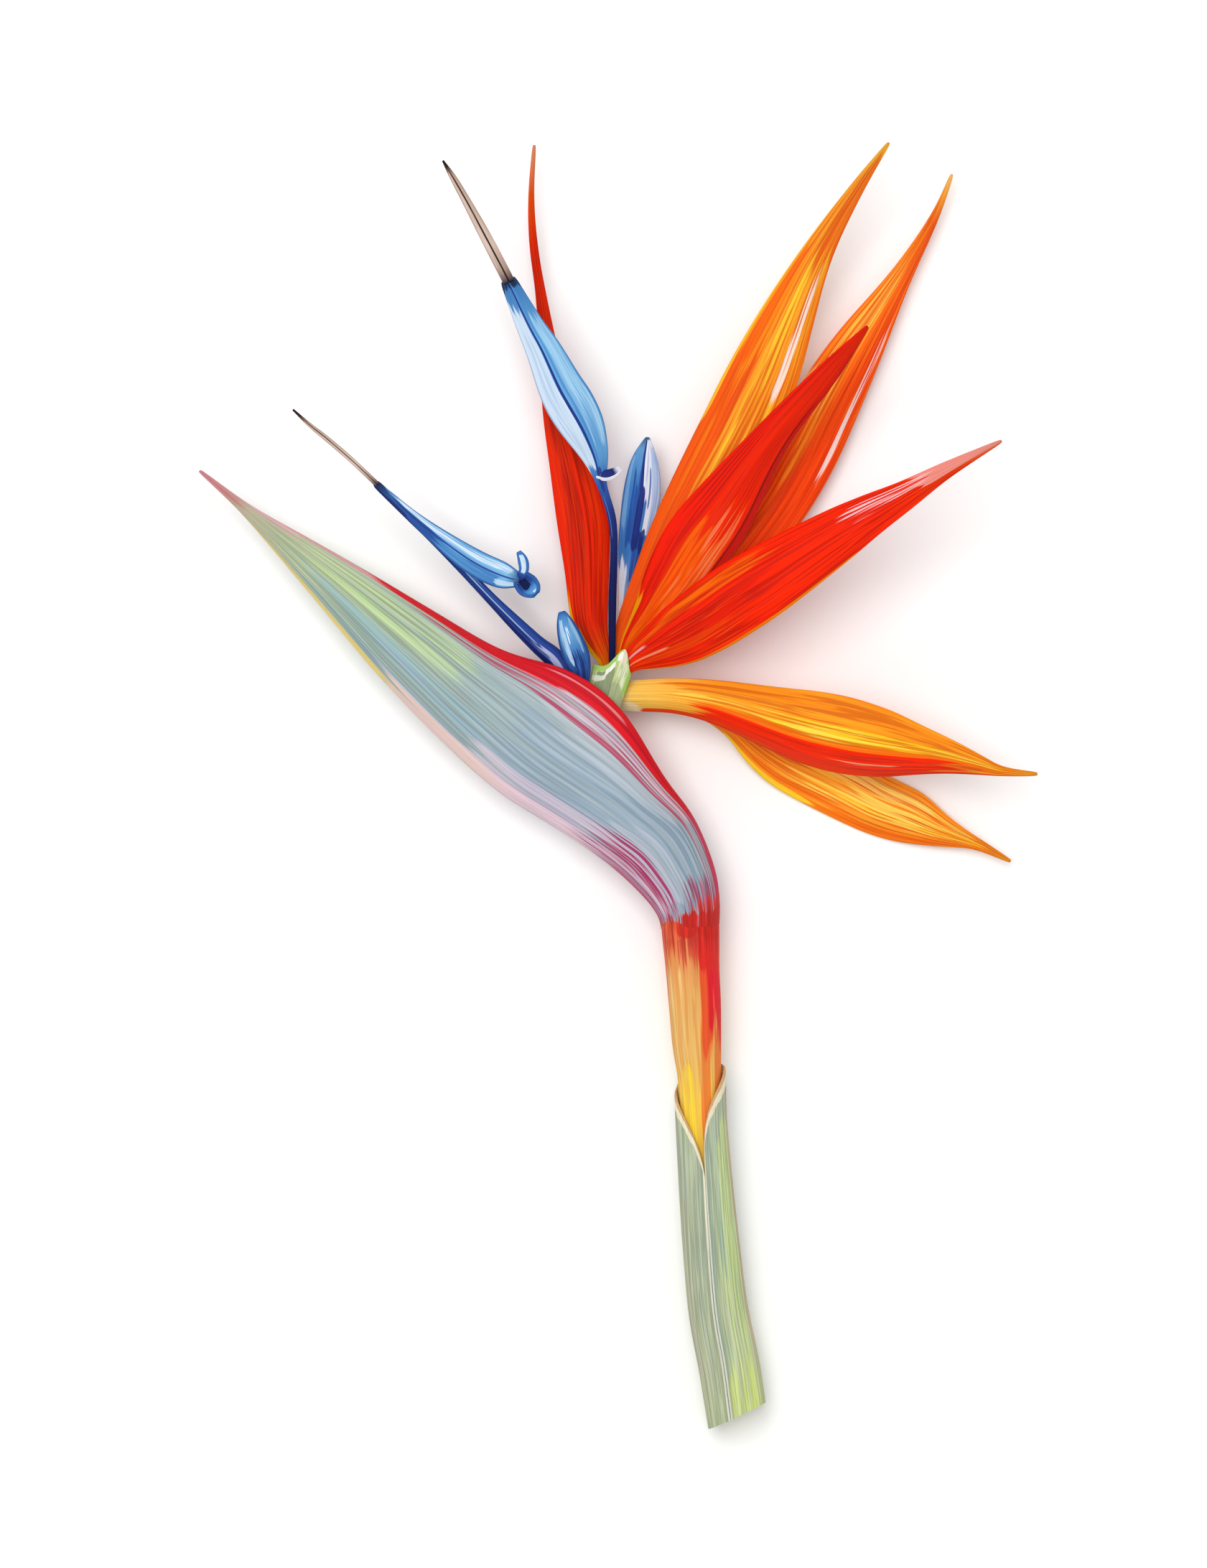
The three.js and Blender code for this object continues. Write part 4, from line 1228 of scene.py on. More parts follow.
def sepal_looks(colours):
    """Each sepal's ground colour from base to tip, and its tints. Across, 0 is the left
    margin and 1 the right one, looking out from the base."""
    red, orange = colours.red_sepal, colours.orange_sepal
    return {
        "sepal_1": (
            [
                (0, "#f2a42e"),
                (0.08, "#ee661a"),
                (0.2, red),
                (0.8, "#f4300c"),
                (0.88, "#f65c34"),
                (1, "#f8a884"),
            ],
            [
                tint("#f6b63c", (0, 0, 0.12, 0.28), (0, 0, 0.14, 0.3), 0.85, 0.85),
                tint("#b81a0a", (0.14, 0.22, 0.36, 0.46), (0.1, 0.18, 0.6, 0.75), 0.75, 0.6),
                tint("#fa3208", (0.55, 0.65, 0.95, 1), (0.15, 0.25, 0.7, 0.85), 0.7, 0.6),
                tint("#a81206", (0.08, 0.14, 0.92, 1), (0.06, 0.14, 0.75, 0.9), 0.6, 0.45, 1),
                tint("#f8522c", (0.05, 0.12, 0.95, 1), (0.1, 0.2, 0.62, 0.75), 0.45, 0.34, 2),
            ],
        ),
        "sepal_2": (
            [
                (0, "#f0a22c"),
                (0.1, "#ee5e14"),
                (0.3, "#f05c10"),
                (0.46, "#f47a12"),
                (0.56, orange),
                (0.76, "#f68e18"),
                (1, "#f8b23a"),
            ],
            [
                tint("#ee500c", (0, 0, 0.34, 0.5), (0.06, 0.18, 0.56, 0.76), 0.85, 1.0),
                tint("#f9a428", (0.28, 0.4, 0.86, 0.95), (0.32, 0.46, 0.85, 0.95), 0.8, 0.7),
                tint("#fdcb32", (0.34, 0.46, 0.88, 0.96), (0.4, 0.52, 0.82, 0.92), 0.85, 0.45, 2),
                tint("#e04a0c", (0.04, 0.1, 0.95, 1), (0.1, 0.2, 0.92, 1), 0.6, 0.42, 1),
                # Painted highlight: whitish streaks.
                tint("#fcece4", (0.64, 0.69, 0.79, 0.85), (0.58, 0.63, 0.76, 0.82), 0.9, 0.55, 2),
                tint("#ee5a0c", (0.05, 0.1, 0.24, 0.4), (0.58, 0.66, 0.78, 0.86), 0.8, 0.7),
                tint("#f8bf30", (0, 0, 0.03, 0.07), (0.48, 0.6, 1, 1.1), 0.9, 1.0),
                tint("#e8600a", (0.9, 0.95, 1, 1.1), (0.3, 0.4, 0.85, 0.95), 0.6, 0.8),
                tint("#d8460c", (0.36, 0.44, 0.6, 0.68), (0.76, 0.83, 0.95, 1), 0.75, 0.6),
                tint("#ea5a10", (0.5, 0.6, 1, 1.1), (0.78, 0.84, 0.96, 1), 0.8, 0.8),
            ],
        ),
        "sepal_3": (
            [
                (0, "#f08a34"),
                (0.3, "#f26418"),
                (0.5, "#f4560c"),
                (0.7, "#f66a12"),
                (0.8, "#f66a16"),
                (0.9, "#f0621a"),
                (0.95, "#f79a34"),
                (1, "#fbc468"),
            ],
            [
                tint("#f98e20", (0.03, 0.1, 0.5, 0.64), (0.44, 0.6, 0.87, 0.96), 0.85, 0.75),
                tint("#fcc44a", (0.1, 0.18, 0.52, 0.62), (0.52, 0.64, 0.8, 0.88), 0.85, 0.42, 2),
                tint("#f23c08", (0.5, 0.62, 1, 1.1), (0.2, 0.35, 0.66, 0.85), 0.75, 0.7),
                tint("#d93606", (0.04, 0.1, 0.95, 1), (0.2, 0.3, 0.9, 1), 0.65, 0.45, 1),
                # Painted highlight: whitish-pink streaks near the right margin.
                tint("#f5dcd8", (0.8, 0.85, 0.92, 0.95), (0.5, 0.58, 0.74, 0.81), 0.9, 0.56, 2),
                # Pale orange band along the left margin: its own colour, made brighter as painted light
                # against the shadow that sepal_4 casts there.
                tint("#fdb460", (0, 0, 0.08, 0.15), (0.1, 0.2, 0.62, 0.72), 0.9, 1.0),
            ],
        ),
        "sepal_4": (
            [
                (0, "#f0922c"),
                (0.08, "#ee5a18"),
                (0.2, "#ee4014"),
                (0.45, "#ee3810"),
                (0.65, red),
                (1, "#e2280c"),
            ],
            [
                tint("#ee3c2a", (0.3, 0.4, 0.84, 0.87), (0.4, 0.5, 0.72, 0.84), 0.7, 0.8),
                tint("#f56a34", (0.28, 0.36, 0.82, 0.86), (0.03, 0.1, 0.56, 0.7), 0.9, 1.05),
                tint("#ee3412", (0.28, 0.34, 0.82, 0.86), (0.05, 0.12, 0.66, 0.8), 0.6, 0.42, 1),
                # Painted highlight: pale pinkish streaks in the middle.
                tint("#fa9a78", (0.44, 0.54, 0.8, 0.84), (0.28, 0.38, 0.62, 0.72), 0.7, 0.42, 2),
                tint("#f88c5c", (0.34, 0.4, 0.6, 0.7), (0.1, 0.18, 0.4, 0.5), 0.5, 0.36, 2),
                tint("#f01a02", (0, 0, 0.24, 0.32), (0.05, 0.12, 1, 1.1), 0.92, 1.05),
                tint("#c01404", (0.26, 0.29, 0.31, 0.34), (0.08, 0.16, 0.7, 0.85), 0.25, 0.8),
                # Painted shade: a darker red strip on the flank turned down beyond the fold.
                tint("#d81606", (0.84, 0.86, 1, 1.1), (0.22, 0.3, 0.9, 1), 0.95, 1.1),
                tint("#b31204", (0, 0, 0.26, 0.34), (0.08, 0.2, 0.92, 1), 0.45, 0.42, 1),
                tint("#b81404", (0.05, 0.1, 0.95, 1), (0.6, 0.72, 0.92, 1), 0.45, 0.4, 1),
                # Painted shade: a dark red line along the fold.
                tint("#960a04", (0.825, 0.845, 0.86, 0.88), (0.2, 0.28, 0.8, 0.9), 0.95, 1.15),
                tint("#f2a030", (0, 0, 0.09, 0.17), (0.02, 0.06, 0.3, 0.42), 0.85, 1.0),
            ],
        ),
        "sepal_5": (
            [
                (0, "#e2663c"),
                (0.06, "#f03010"),
                (0.2, red),
                (0.5, "#fc2604"),
                (0.75, "#f82a06"),
                (0.9, "#f4482c"),
                (1, "#f28466"),
            ],
            [
                tint("#f5641e", (0.02, 0.08, 0.24, 0.34), (0.06, 0.14, 0.42, 0.56), 0.8, 0.75),
                tint("#f67a34", (0.1, 0.13, 0.16, 0.2), (0.12, 0.2, 0.34, 0.44), 0.6, 0.8),
                tint("#c61606", (0.22, 0.32, 0.64, 0.76), (0.08, 0.16, 0.44, 0.58), 0.5, 0.48),
                tint("#ff2c08", (0.6, 0.7, 0.95, 1), (0.3, 0.4, 0.8, 0.9), 0.7, 0.7),
                tint("#b41204", (0.05, 0.1, 0.95, 1), (0.06, 0.14, 0.92, 1), 0.5, 0.42, 1),
                tint("#f4704a", (0.4, 0.46, 0.95, 1), (0.03, 0.08, 0.32, 0.5), 0.45, 0.3, 2),
                tint("#eeb0b8", (0.3, 0.33, 0.37, 0.41), (0.02, 0.05, 0.13, 0.18), 0.8, 0.9),
                tint("#f6a98c", (0.56, 0.585, 0.61, 0.64), (0.02, 0.05, 0.16, 0.22), 0.7, 0.9),
                tint("#f8a79c", (0, 0, 0.6, 0.75), (0.8, 0.88, 1, 1.1), 0.85, 0.95),
                # Painted highlight: pale pink streaks towards the tip.
                tint("#fbd4d6", (0.1, 0.18, 0.45, 0.55), (0.6, 0.68, 0.84, 0.9), 0.85, 0.4, 2),
                tint("#f69a50", (0.94, 0.965, 1, 1.1), (0.06, 0.12, 0.6, 0.72), 0.85, 1.0),
            ],
        ),
        "sepal_6": (
            [(0, "#fbdc9e"), (0.06, "#fbc85a"), (0.25, "#f8a226"), (0.6, "#f99a1a"), (1, "#f49a26")],
            [
                tint("#f58816", (0, 0, 0.3, 0.42), (0.1, 0.22, 0.95, 1), 0.85, 0.8),
                tint("#fdc41c", (0.3, 0.38, 0.54, 0.62), (0.3, 0.42, 0.88, 0.96), 0.85, 0.75),
                tint("#d6620a", (0.04, 0.08, 0.5, 0.6), (0.12, 0.2, 0.92, 1), 0.7, 0.45, 1),
                tint("#fddc50", (0.32, 0.38, 0.52, 0.6), (0.12, 0.22, 0.85, 0.95), 0.7, 0.36, 2),
                tint("#f4680a", (0.5, 0.56, 0.7, 0.8), (0.14, 0.26, 0.9, 1), 0.9, 1.0),
                tint("#fa2602", (0.57, 0.65, 1, 1.1), (0.14, 0.28, 0.7, 0.86), 0.98, 1.0),
                tint("#ea3406", (0.84, 0.9, 1, 1.1), (0.05, 0.1, 0.95, 1), 0.95, 1.05),
                tint("#bc1c04", (0.62, 0.7, 0.96, 1), (0.25, 0.35, 0.8, 0.9), 0.5, 0.42, 1),
                # Painted highlight: a pale peach streak on the red lower part.
                tint("#fab48c", (0.76, 0.785, 0.81, 0.84), (0.47, 0.52, 0.6, 0.66), 0.7, 0.7, 2),
                tint("#e6e0d2", (0, 0, 0.03, 0.08), (0, 0, 0.05, 0.1), 0.8, 1.0),
                tint("#fbe9c8", (0.6, 0.8, 1, 1.1), (0, 0, 0.05, 0.1), 0.7, 1.0),
            ],
        ),
        "sepal_7": (
            [(0, "#f2a648"), (0.3, "#f68c1e"), (0.55, "#f89c2c"), (0.8, "#f68c1c"), (1, "#f09026")],
            [
                # Painted highlight: a pale peach patch in the upper middle.
                tint("#fcc868", (0.05, 0.15, 0.42, 0.58), (0.42, 0.52, 0.72, 0.82), 0.85, 0.65),
                tint("#fdbc2a", (0.3, 0.42, 0.62, 0.74), (0.4, 0.52, 0.9, 0.97), 0.85, 0.6),
                tint("#f36c0c", (0.62, 0.74, 0.94, 1), (0.3, 0.4, 0.9, 1), 0.8, 0.65),
                tint("#dd5a0a", (0.04, 0.1, 0.95, 1), (0.22, 0.32, 0.95, 1), 0.72, 0.46, 1),
                tint("#fedc5e", (0.1, 0.2, 0.7, 0.8), (0.38, 0.5, 0.85, 0.93), 0.8, 0.4, 2),
                tint("#fcd02c", (0.86, 0.92, 1, 1.1), (0.22, 0.3, 0.46, 0.54), 0.9, 1.0),
                # Painted shadow: darker orange where sepal_6 lies over the base.
                tint("#d95c0a", (0, 0, 0.12, 0.24), (0.2, 0.3, 0.42, 0.52), 0.5, 0.8),
            ],
        ),
    }


class FLOWER_OT_sepals(bpy.types.Operator):
    """Builds the seven sepals: a long flat strip pleated, shaped row by row and thickened"""

    bl_idname = "flower.sepals"
    bl_label = "Sepals"

    def execute(self, context):
        sizes = context.scene.flower_sizes
        looks = sepal_looks(context.scene.flower_colours)
        for name, stations in SEPALS.items():
            piece = blade(
                name + "_blade",
                stations,
                sizes.sepal_thickness,
                pleats=sizes.pleats,
                fold=SEPAL_FOLDS.get(name),
            )
            if name == LOWEST_SEPAL:
                flatten_underside(piece)
            ground, tints = looks[name]
            # A thin, silky sepal: long fine veins catch the light as narrow pale streaks, and
            # the deep orange and red show through the tissue, so its shine stays low.
            red = name in RED_SEPALS
            skin = living_skin(
                name + "_skin",
                ground,
                tints,
                run=2.4,
                tone=SEPAL_TONES[name],
                richness=RICH_RED if red else 1.0,
            )
            stand_for(piece, skin, "sepal_red" if red else "sepal_orange", name)
        return {"FINISHED"}


# The blue petals and the stigmas

# The strips that the petals are modelled from: [x, y, lift above the mid-plane, half-width].
UPPER_HEAD = [
    [-1.5, 25.6, 1.7, 0.5],
    [-1.35, 31.1, 1.9, 0.6],
    [-1.3, 42.2, 2.8, 0.75],
    [-0.9, 53.7, 4.2, 0.65],
    [-1.5, 60.6, 5.4, 0.8],
    [-3.7, 67.6, 6.8, 1.0],
    [-5.0, 73.4, 8.0, 2.9],
    [-7.5, 79.6, 9.4, 4.8],
    [-10.4, 84.8, 10.4, 5.4],
    [-13.0, 89.4, 11.0, 5.0],
    [-16.6, 97.2, 12.0, 3.9],
    [-19.7, 102.8, 12.8, 3.0],
    [-24.6, 112.95, 13.9, 1.7],
]
UPPER_LIP = [
    [-5.0, 69.9, 7.2, 0.8],
    [-2.8, 69.4, 7.6, 1.2],
    [-0.6, 70.2, 7.8, 1.0],
    [0.6, 71.2, 7.9, 0.4],
]
LOWER_CLAW = [
    [-10.2, 21.2, 1.0, 1.9],
    [-13.7, 28.2, 1.6, 2.2],
    [-17.8, 31.8, 2.4, 1.8],
    [-22.6, 36.4, 3.4, 1.5],
    [-28.0, 41.8, 4.4, 1.1],
    [-34.1, 48.2, 5.4, 0.95],
    [-41.3, 55.5, 6.4, 0.8],
    [-46.2, 60.2, 7.0, 0.75],
    [-54.1, 67.9, 7.85, 0.7],
]
LOWER_WING = [
    [-53.6, 67.7, 7.75, 0.25],
    [-50.6, 64.9, 7.5, 0.7],
    [-46.4, 61.1, 7.3, 1.05],
    [-41.6, 57.1, 7.2, 1.7],
    [-35.4, 52.4, 7.4, 2.6],
    [-30.4, 49.3, 7.6, 3.0],
    [-25.6, 47.2, 7.8, 2.9],
    [-21.8, 46.1, 7.8, 1.4],
]
LOWER_EAR = [
    [-22.4, 46.3, 7.8, 0.8],
    [-21.0, 48.2, 8.0, 1.0],
    [-21.2, 50.6, 8.2, 1.1],
    [-22.2, 52.6, 8.2, 0.4],
]
LOWER_CURL = [
    [-22.6, 47.6, 7.8, 1.6],
    [-20.5, 45.3, 8.0, 2.5],
    [-19.3, 44.2, 8.4, 2.25],
    [-18.6, 43.5, 8.7, 1.55],
    [-18.2, 43.1, 8.8, 0.6],
]
BACK_HEAD = [
    [-0.1, 25.6, -1.2, 0.6],
    [0.7, 32.4, -1.6, 0.8],
    [1.3, 41.0, -2.2, 1.0],
    [2.4, 47.6, -2.4, 2.3],
    [3.4, 54.0, -2.4, 3.4],
    [4.5, 60.4, -2.4, 4.0],
    [5.4, 66.8, -2.4, 4.1],
    [5.9, 73.2, -2.4, 2.9],
    [6.6, 78.3, -2.4, 0.3],
]
FREE_PETAL = [
    [-8.3, 21.9, 3.5, 1.0],
    [-8.2, 25.2, 4.2, 1.9],
    [-9.1, 28.7, 5.2, 2.8],
    [-10.4, 32.4, 6.0, 2.7],
    [-11.7, 36.2, 6.8, 1.9],
    [-12.6, 39.3, 7.4, 0.5],
]
STIGMAS = {
    "stigma_upper": [
        [-24.2, 112.2, 13.9, 1.4],
        [-29.4, 122.2, 14.6, 1.35],
        [-33.6, 130.0, 15.0, 1.05],
        [-36.6, 135.3, 15.2, 0.8],
        [-38.9, 139.1, 15.2, 0.25],
    ],
    "stigma_lower": [
        [-53.4, 67.3, 7.8, 0.66],
        [-59.4, 73.0, 8.2, 0.68],
        [-65.0, 77.8, 8.4, 0.66],
        [-68.5, 80.6, 8.4, 0.52],
        [-72.3, 84.1, 8.4, 0.25],
    ],
}


def petal_pieces(colours):
    """Each strip of the blue petals: its node, stations, shape, ground colour and tints."""
    blue, navy = colours.blue_petal, colours.navy_fold
    arrow = {"arch": 0.1, "crease": 0.4}
    return {
        "upper_arrow_head": (
            "arrow_petals_upper",
            UPPER_HEAD,
            {**arrow, "rows": 36, "columns": 10},
            [
                (0, "#060e3c"),
                (0.2, "#0a1654"),
                (0.34, "#122c7c"),
                (0.42, "#2258ac"),
                (0.52, blue),
                (0.86, "#5ea4da"),
                (1, "#2f6fb0"),
            ],
            [
                tint("#5a86cc", (0.24, 0.3, 0.34, 0.42), (0.24, 0.3, 0.37, 0.41), 0.7, 0.9),
                # Painted light: the left half pale whitish blue, as the side that faces the light.
                tint("#cbdcee", (0, 0, 0.4, 0.45), (0.43, 0.5, 0.93, 0.98), 0.96, 1.0),
                tint("#a2c2e2", (0.08, 0.14, 0.38, 0.43), (0.46, 0.54, 0.86, 0.93), 0.5, 0.4, 1),
                tint("#a0d0ee", (0.55, 0.61, 0.88, 0.95), (0.48, 0.56, 0.9, 0.97), 0.88, 0.85),
                tint("#4f98d2", (0.55, 0.6, 0.95, 1), (0.45, 0.52, 0.92, 0.98), 0.55, 0.42, 1),
                tint("#3884c8", (0.48, 0.5, 0.55, 0.61), (0.43, 0.48, 0.98, 1), 0.75, 0.85),
                tint("#2f76b8", (0.93, 0.965, 1, 1.1), (0.45, 0.52, 0.97, 1), 0.8, 1.0),
                tint("#6f9cc8", (0, 0, 0.02, 0.06), (0.47, 0.54, 0.95, 1), 0.7, 1.0),
                tint(navy, (0.43, 0.45, 0.485, 0.505), (0.41, 0.45, 0.99, 1), 0.98, 1.15),
                tint("#12307e", (0.36, 0.42, 0.72, 0.82), (0.38, 0.41, 0.45, 0.49), 0.85, 0.8),
                tint("#12203c", WHOLE, (0.975, 0.99, 1, 1.1), 0.9, 0.9),
            ],
        ),
        "upper_arrow_lip": (
            "arrow_petals_upper",
            UPPER_LIP,
            {"rows": 8, "columns": 6},
            [(0, "#c6d4ea"), (0.2, "#12287c"), (0.62, "#14226c"), (0.8, "#ccd2e2"), (1, "#e4e0e4")],
            [tint("#e6e6ee", (0.6, 0.7, 1, 1.1), WHOLE, 0.97, 1.1)],
        ),
        "lower_arrow_claw": (
            "arrow_petals_lower",
            LOWER_CLAW,
            {"arch": 0.5, "crease": 0.2, "rows": 30, "columns": 8},
            [
                (0, "#4a5cac"),
                (0.13, "#26469c"),
                (0.4, "#1b4598"),
                (0.8, "#2a60b0"),
                (0.95, "#24508f"),
                (1, "#12203c"),
            ],
            [
                tint("#b9c1e6", (0.3, 0.36, 0.56, 0.64), (0, 0.06, 0.22, 0.32), 0.85, 0.8),
                # Painted highlight: a thin pale line along the middle.
                tint("#d4e0f2", (0.465, 0.485, 0.52, 0.545), (0.2, 0.28, 0.62, 0.74), 0.8, 1.0),
                tint("#7eaedb", (0.46, 0.52, 0.68, 0.76), (0.5, 0.6, 0.9, 0.97), 0.75, 0.9),
                tint("#0c2068", (0, 0, 0.24, 0.34), WHOLE, 0.97, 1.0),
                tint("#133a8c", (0.72, 0.8, 1, 1.1), (0.02, 0.08, 0.9, 1), 0.95, 1.0),
                tint("#0a1a5c", (0.32, 0.36, 0.4, 0.44), (0.1, 0.2, 0.9, 1), 0.8, 0.8),
            ],
        ),
        "lower_arrow_wing": (
            "arrow_petals_lower",
            LOWER_WING,
            {"arch": 0.1, "crease": 0.35, "rows": 24, "columns": 10},
            [(0, "#2a66b4"), (0.2, "#4a90cc"), (0.46, blue), (0.88, "#6fb0de"), (1, "#0c2060")],
            [
                # Painted highlight: a pale whitish-blue band on one side.
                tint("#dcecf8", (0.11, 0.18, 0.4, 0.46), (0.1, 0.3, 0.88, 0.96), 0.92, 0.9),
                tint("#74b2e0", (0.14, 0.2, 0.4, 0.46), (0.2, 0.3, 0.9, 1), 0.7, 0.42, 1),
                tint("#2f74ba", (0.54, 0.6, 1, 1.1), (0.1, 0.25, 0.8, 0.88), 0.9, 0.95),
                tint("#4f94d0", (0.6, 0.68, 0.84, 0.9), (0.4, 0.5, 0.8, 0.88), 0.6, 0.5, 1),
                tint("#bcdcf2", (0.62, 0.68, 0.84, 0.9), (0.8, 0.85, 0.95, 1), 0.9, 0.95),
                tint("#1c4a9c", (0.46, 0.54, 1, 1.1), (0, 0, 0.42, 0.58), 0.94, 1.0),
                tint("#10307e", (0.4, 0.46, 0.56, 0.62), (0.02, 0.1, 0.36, 0.54), 0.85, 0.95),
                tint("#123f94", (0.475, 0.5, 0.53, 0.555), (0.05, 0.14, 0.92, 1), 0.95, 1.0),
                tint("#2c68b0", (0, 0, 0.06, 0.12), (0.02, 0.1, 1, 1.1), 0.9, 1.0),
                tint("#1f5aa6", (0.88, 0.93, 1, 1.1), (0.02, 0.1, 1, 1.1), 0.9, 1.0),
            ],
        ),
        "lower_arrow_ear": (
            "arrow_petals_lower",
            LOWER_EAR,
            {"rows": 10, "columns": 6},
            [(0, "#0a1850"), (0.16, "#123a8c"), (0.34, "#2a68b4"), (1, "#2f74bc")],
            [tint("#cfe5f6", (0.26, 0.36, 0.62, 0.74), (0.22, 0.36, 0.82, 0.92), 0.92, 1.0)],
        ),
        "lower_arrow_curl": (
            "arrow_petals_lower",
            LOWER_CURL,
            {"arch": -0.5, "crease": 0, "rows": 18, "columns": 12},
            [(0, "#10256c"), (0.3, "#1b4796"), (0.55, "#4a94d2"), (0.85, "#5aa2d8"), (1, "#2a64ac")],
            [
                # Painted shade: a navy spot in the cup's hollow.
                tint("#081344", (0.24, 0.34, 0.72, 0.82), (0, 0, 0.34, 0.46), 0.97, 1.05),
                # Painted highlight: a white crescent in the cup.
                tint("#eef6fc", (0.2, 0.3, 0.5, 0.6), (0.6, 0.68, 0.82, 0.9), 0.95, 0.95),
                *beside_both_margins("#1f55a2", (0, 0, 0.06, 0.14), WHOLE, 0.85, 1.0),
            ],
        ),
        "back_arrow_head": (
            "arrow_petals_back",
            BACK_HEAD,
            {**arrow, "rows": 26, "columns": 10},
            [
                (0, "#d8d9dd"),
                (0.2, "#ccd2e0"),
                (0.33, "#5d8ac8"),
                (0.46, "#2c70ba"),
                (0.75, "#327cc4"),
                (0.93, "#5a96c8"),
                (1, "#324e70"),
            ],
            [
                tint("#10489c", (0.2, 0.32, 0.5, 0.56), (0.44, 0.54, 0.8, 0.92), 0.9, 0.9),
                # Painted highlight: a pale blue streak near the left margin.
                tint("#86b8e0", (0.03, 0.07, 0.12, 0.2), (0.5, 0.62, 0.86, 0.93), 0.5, 0.8),
                tint("#2463ac", (0, 0, 0.04, 0.1), (0.4, 0.5, 0.97, 1), 0.75, 1.0),
                tint("#e6ecfa", (0.48, 0.53, 1, 1.1), (0.64, 0.72, 0.97, 1), 0.95, 1.0),
                tint("#e6ecfa", (0.6, 0.66, 1, 1.1), (0.52, 0.57, 0.72, 0.8), 0.95, 1.0),
                tint("#9fc0ea", (0.7, 0.8, 1, 1.1), (0.5, 0.57, 0.92, 0.98), 0.85, 0.95),
                tint("#2b62b4", (0.655, 0.68, 0.7, 0.725), (0.64, 0.7, 0.8, 0.87), 0.85, 1.0),
                tint("#6f9fdc", (0.74, 0.8, 0.92, 0.97), (0.52, 0.6, 0.9, 0.95), 0.6, 0.45, 1),
                tint("#94a9c2", (0.94, 0.97, 1, 1.1), (0.5, 0.58, 0.97, 1), 0.75, 1.0),
                tint("#1a4aa0", (0.46, 0.54, 1, 1.1), (0.3, 0.38, 0.49, 0.54), 0.95, 1.0),
                tint("#0b2270", (0.38, 0.46, 0.56, 0.6), (0.46, 0.52, 0.66, 0.8), 0.95, 0.95),
                tint(navy, (0.45, 0.49, 0.56, 0.6), (0.52, 0.58, 0.72, 0.8), 0.98, 1.1),
                tint(navy, (0.43, 0.46, 0.5, 0.54), (0.68, 0.74, 0.97, 1), 0.98, 1.1),
                tint(navy, (0.54, 0.58, 0.72, 0.8), (0.44, 0.5, 0.55, 0.6), 0.95, 1.1),
                tint("#e0e4ee", (0, 0, 0.36, 0.46), (0.1, 0.2, 0.38, 0.48), 0.9, 0.85),
                tint("#7d808c", (0.44, 0.48, 0.5, 0.54), (0, 0.05, 0.3, 0.4), 0.7, 0.9),
            ],
        ),
        "free_petal_blade": (
            "free_petal",
            FREE_PETAL,
            {"arch": 0.6, "rows": 14, "columns": 10},
            [
                (0, "#0d2060"),
                (0.18, "#1b4896"),
                (0.44, "#2a66b0"),
                (0.7, blue),
                (0.92, "#3a80c2"),
                (1, "#1d4f9c"),
            ],
            [
                tint("#b4d6f0", (0.16, 0.22, 0.32, 0.4), (0.3, 0.42, 0.86, 0.93), 0.85, 0.85),
                tint("#9cc8ea", (0.62, 0.68, 0.76, 0.84), (0.4, 0.5, 0.84, 0.92), 0.75, 0.8),
                *beside_both_margins("#194a98", (0, 0, 0.09, 0.17), (0.05, 0.15, 1, 1.1), 0.95, 1.0),
                tint("#0e2468", (0.26, 0.34, 0.72, 0.82), (0.02, 0.06, 0.42, 0.58), 0.9, 0.5, 1),
                # Painted highlight: a white streak in the middle.
                tint("#f2f8fd", (0.41, 0.46, 0.51, 0.57), (0.54, 0.62, 0.76, 0.86), 0.9, 0.8),
            ],
        ),
    }


class FLOWER_OT_blue_petals(bpy.types.Operator):
    """Builds the arrow-shaped blue petals, each from the strips that it is folded from"""

    bl_idname = "flower.blue_petals"
    bl_label = "Blue Petals"

    def execute(self, context):
        wall = context.scene.flower_sizes.petal_thickness
        strips = petal_pieces(context.scene.flower_colours)
        for name, (node, stations, shape, ground, tints) in strips.items():
            piece = blade(name, stations, wall, **shape)
            # A smooth, firm petal: a clear blue that pales along its edges and gathers into
            # navy in the folds, with hardly any veins and a soft shine.
            skin = living_skin(
                name + "_skin",
                ground,
                tints,
                broad=7,
                fine=20,
                run=1.8,
                relief=0.06,
                veins=0.08,
                tone=0.96,
                richness=0.96,
            )
            stand_for(piece, skin, "petal_blue", node)
        return {"FINISHED"}


class FLOWER_OT_stigmas(bpy.types.Operator):
    """Builds the two long dry stigmas at the arrows' tips"""

    bl_idname = "flower.stigmas"
    bl_label = "Stigmas"

    def execute(self, context):
        # A dry, papery thread: dull and brown, dark along its middle groove and at its tip.
        skin = living_skin(
            "stigma_skin_dry",
            [
                (0, "#2a2030"),
                (0.07, "#b39a8e"),
                (0.2, context.scene.flower_colours.stigma_skin),
                (0.78, "#b79c8c"),
                (0.9, "#3a2a24"),
                (1, "#140e0c"),
            ],
            [
                tint("#b08f80", (0, 0, 0.08, 0.14), WHOLE, 0.45, 0.8),
                tint("#b08f80", (0.38, 0.44, 0.5, 0.6), WHOLE, 0.45, 0.8),
                tint("#e0cdc2", (0.3, 0.33, 0.37, 0.41), (0.05, 0.1, 0.8, 0.9), 0.7, 0.9),
                tint("#261814", (0.21, 0.235, 0.265, 0.29), WHOLE, 0.97, 1.0),
            ],
            broad=10,
            fine=24,
            relief=0.06,
            roughness=(0.65, 0.8),
            shine=0.1,
            glow=0.0,
        )
        for name, stations in STIGMAS.items():
            stand_for(rod(name + "_rod", stations, sides=12, rows=14), skin, "stigma_brown", name)
        return {"FINISHED"}


# The stage

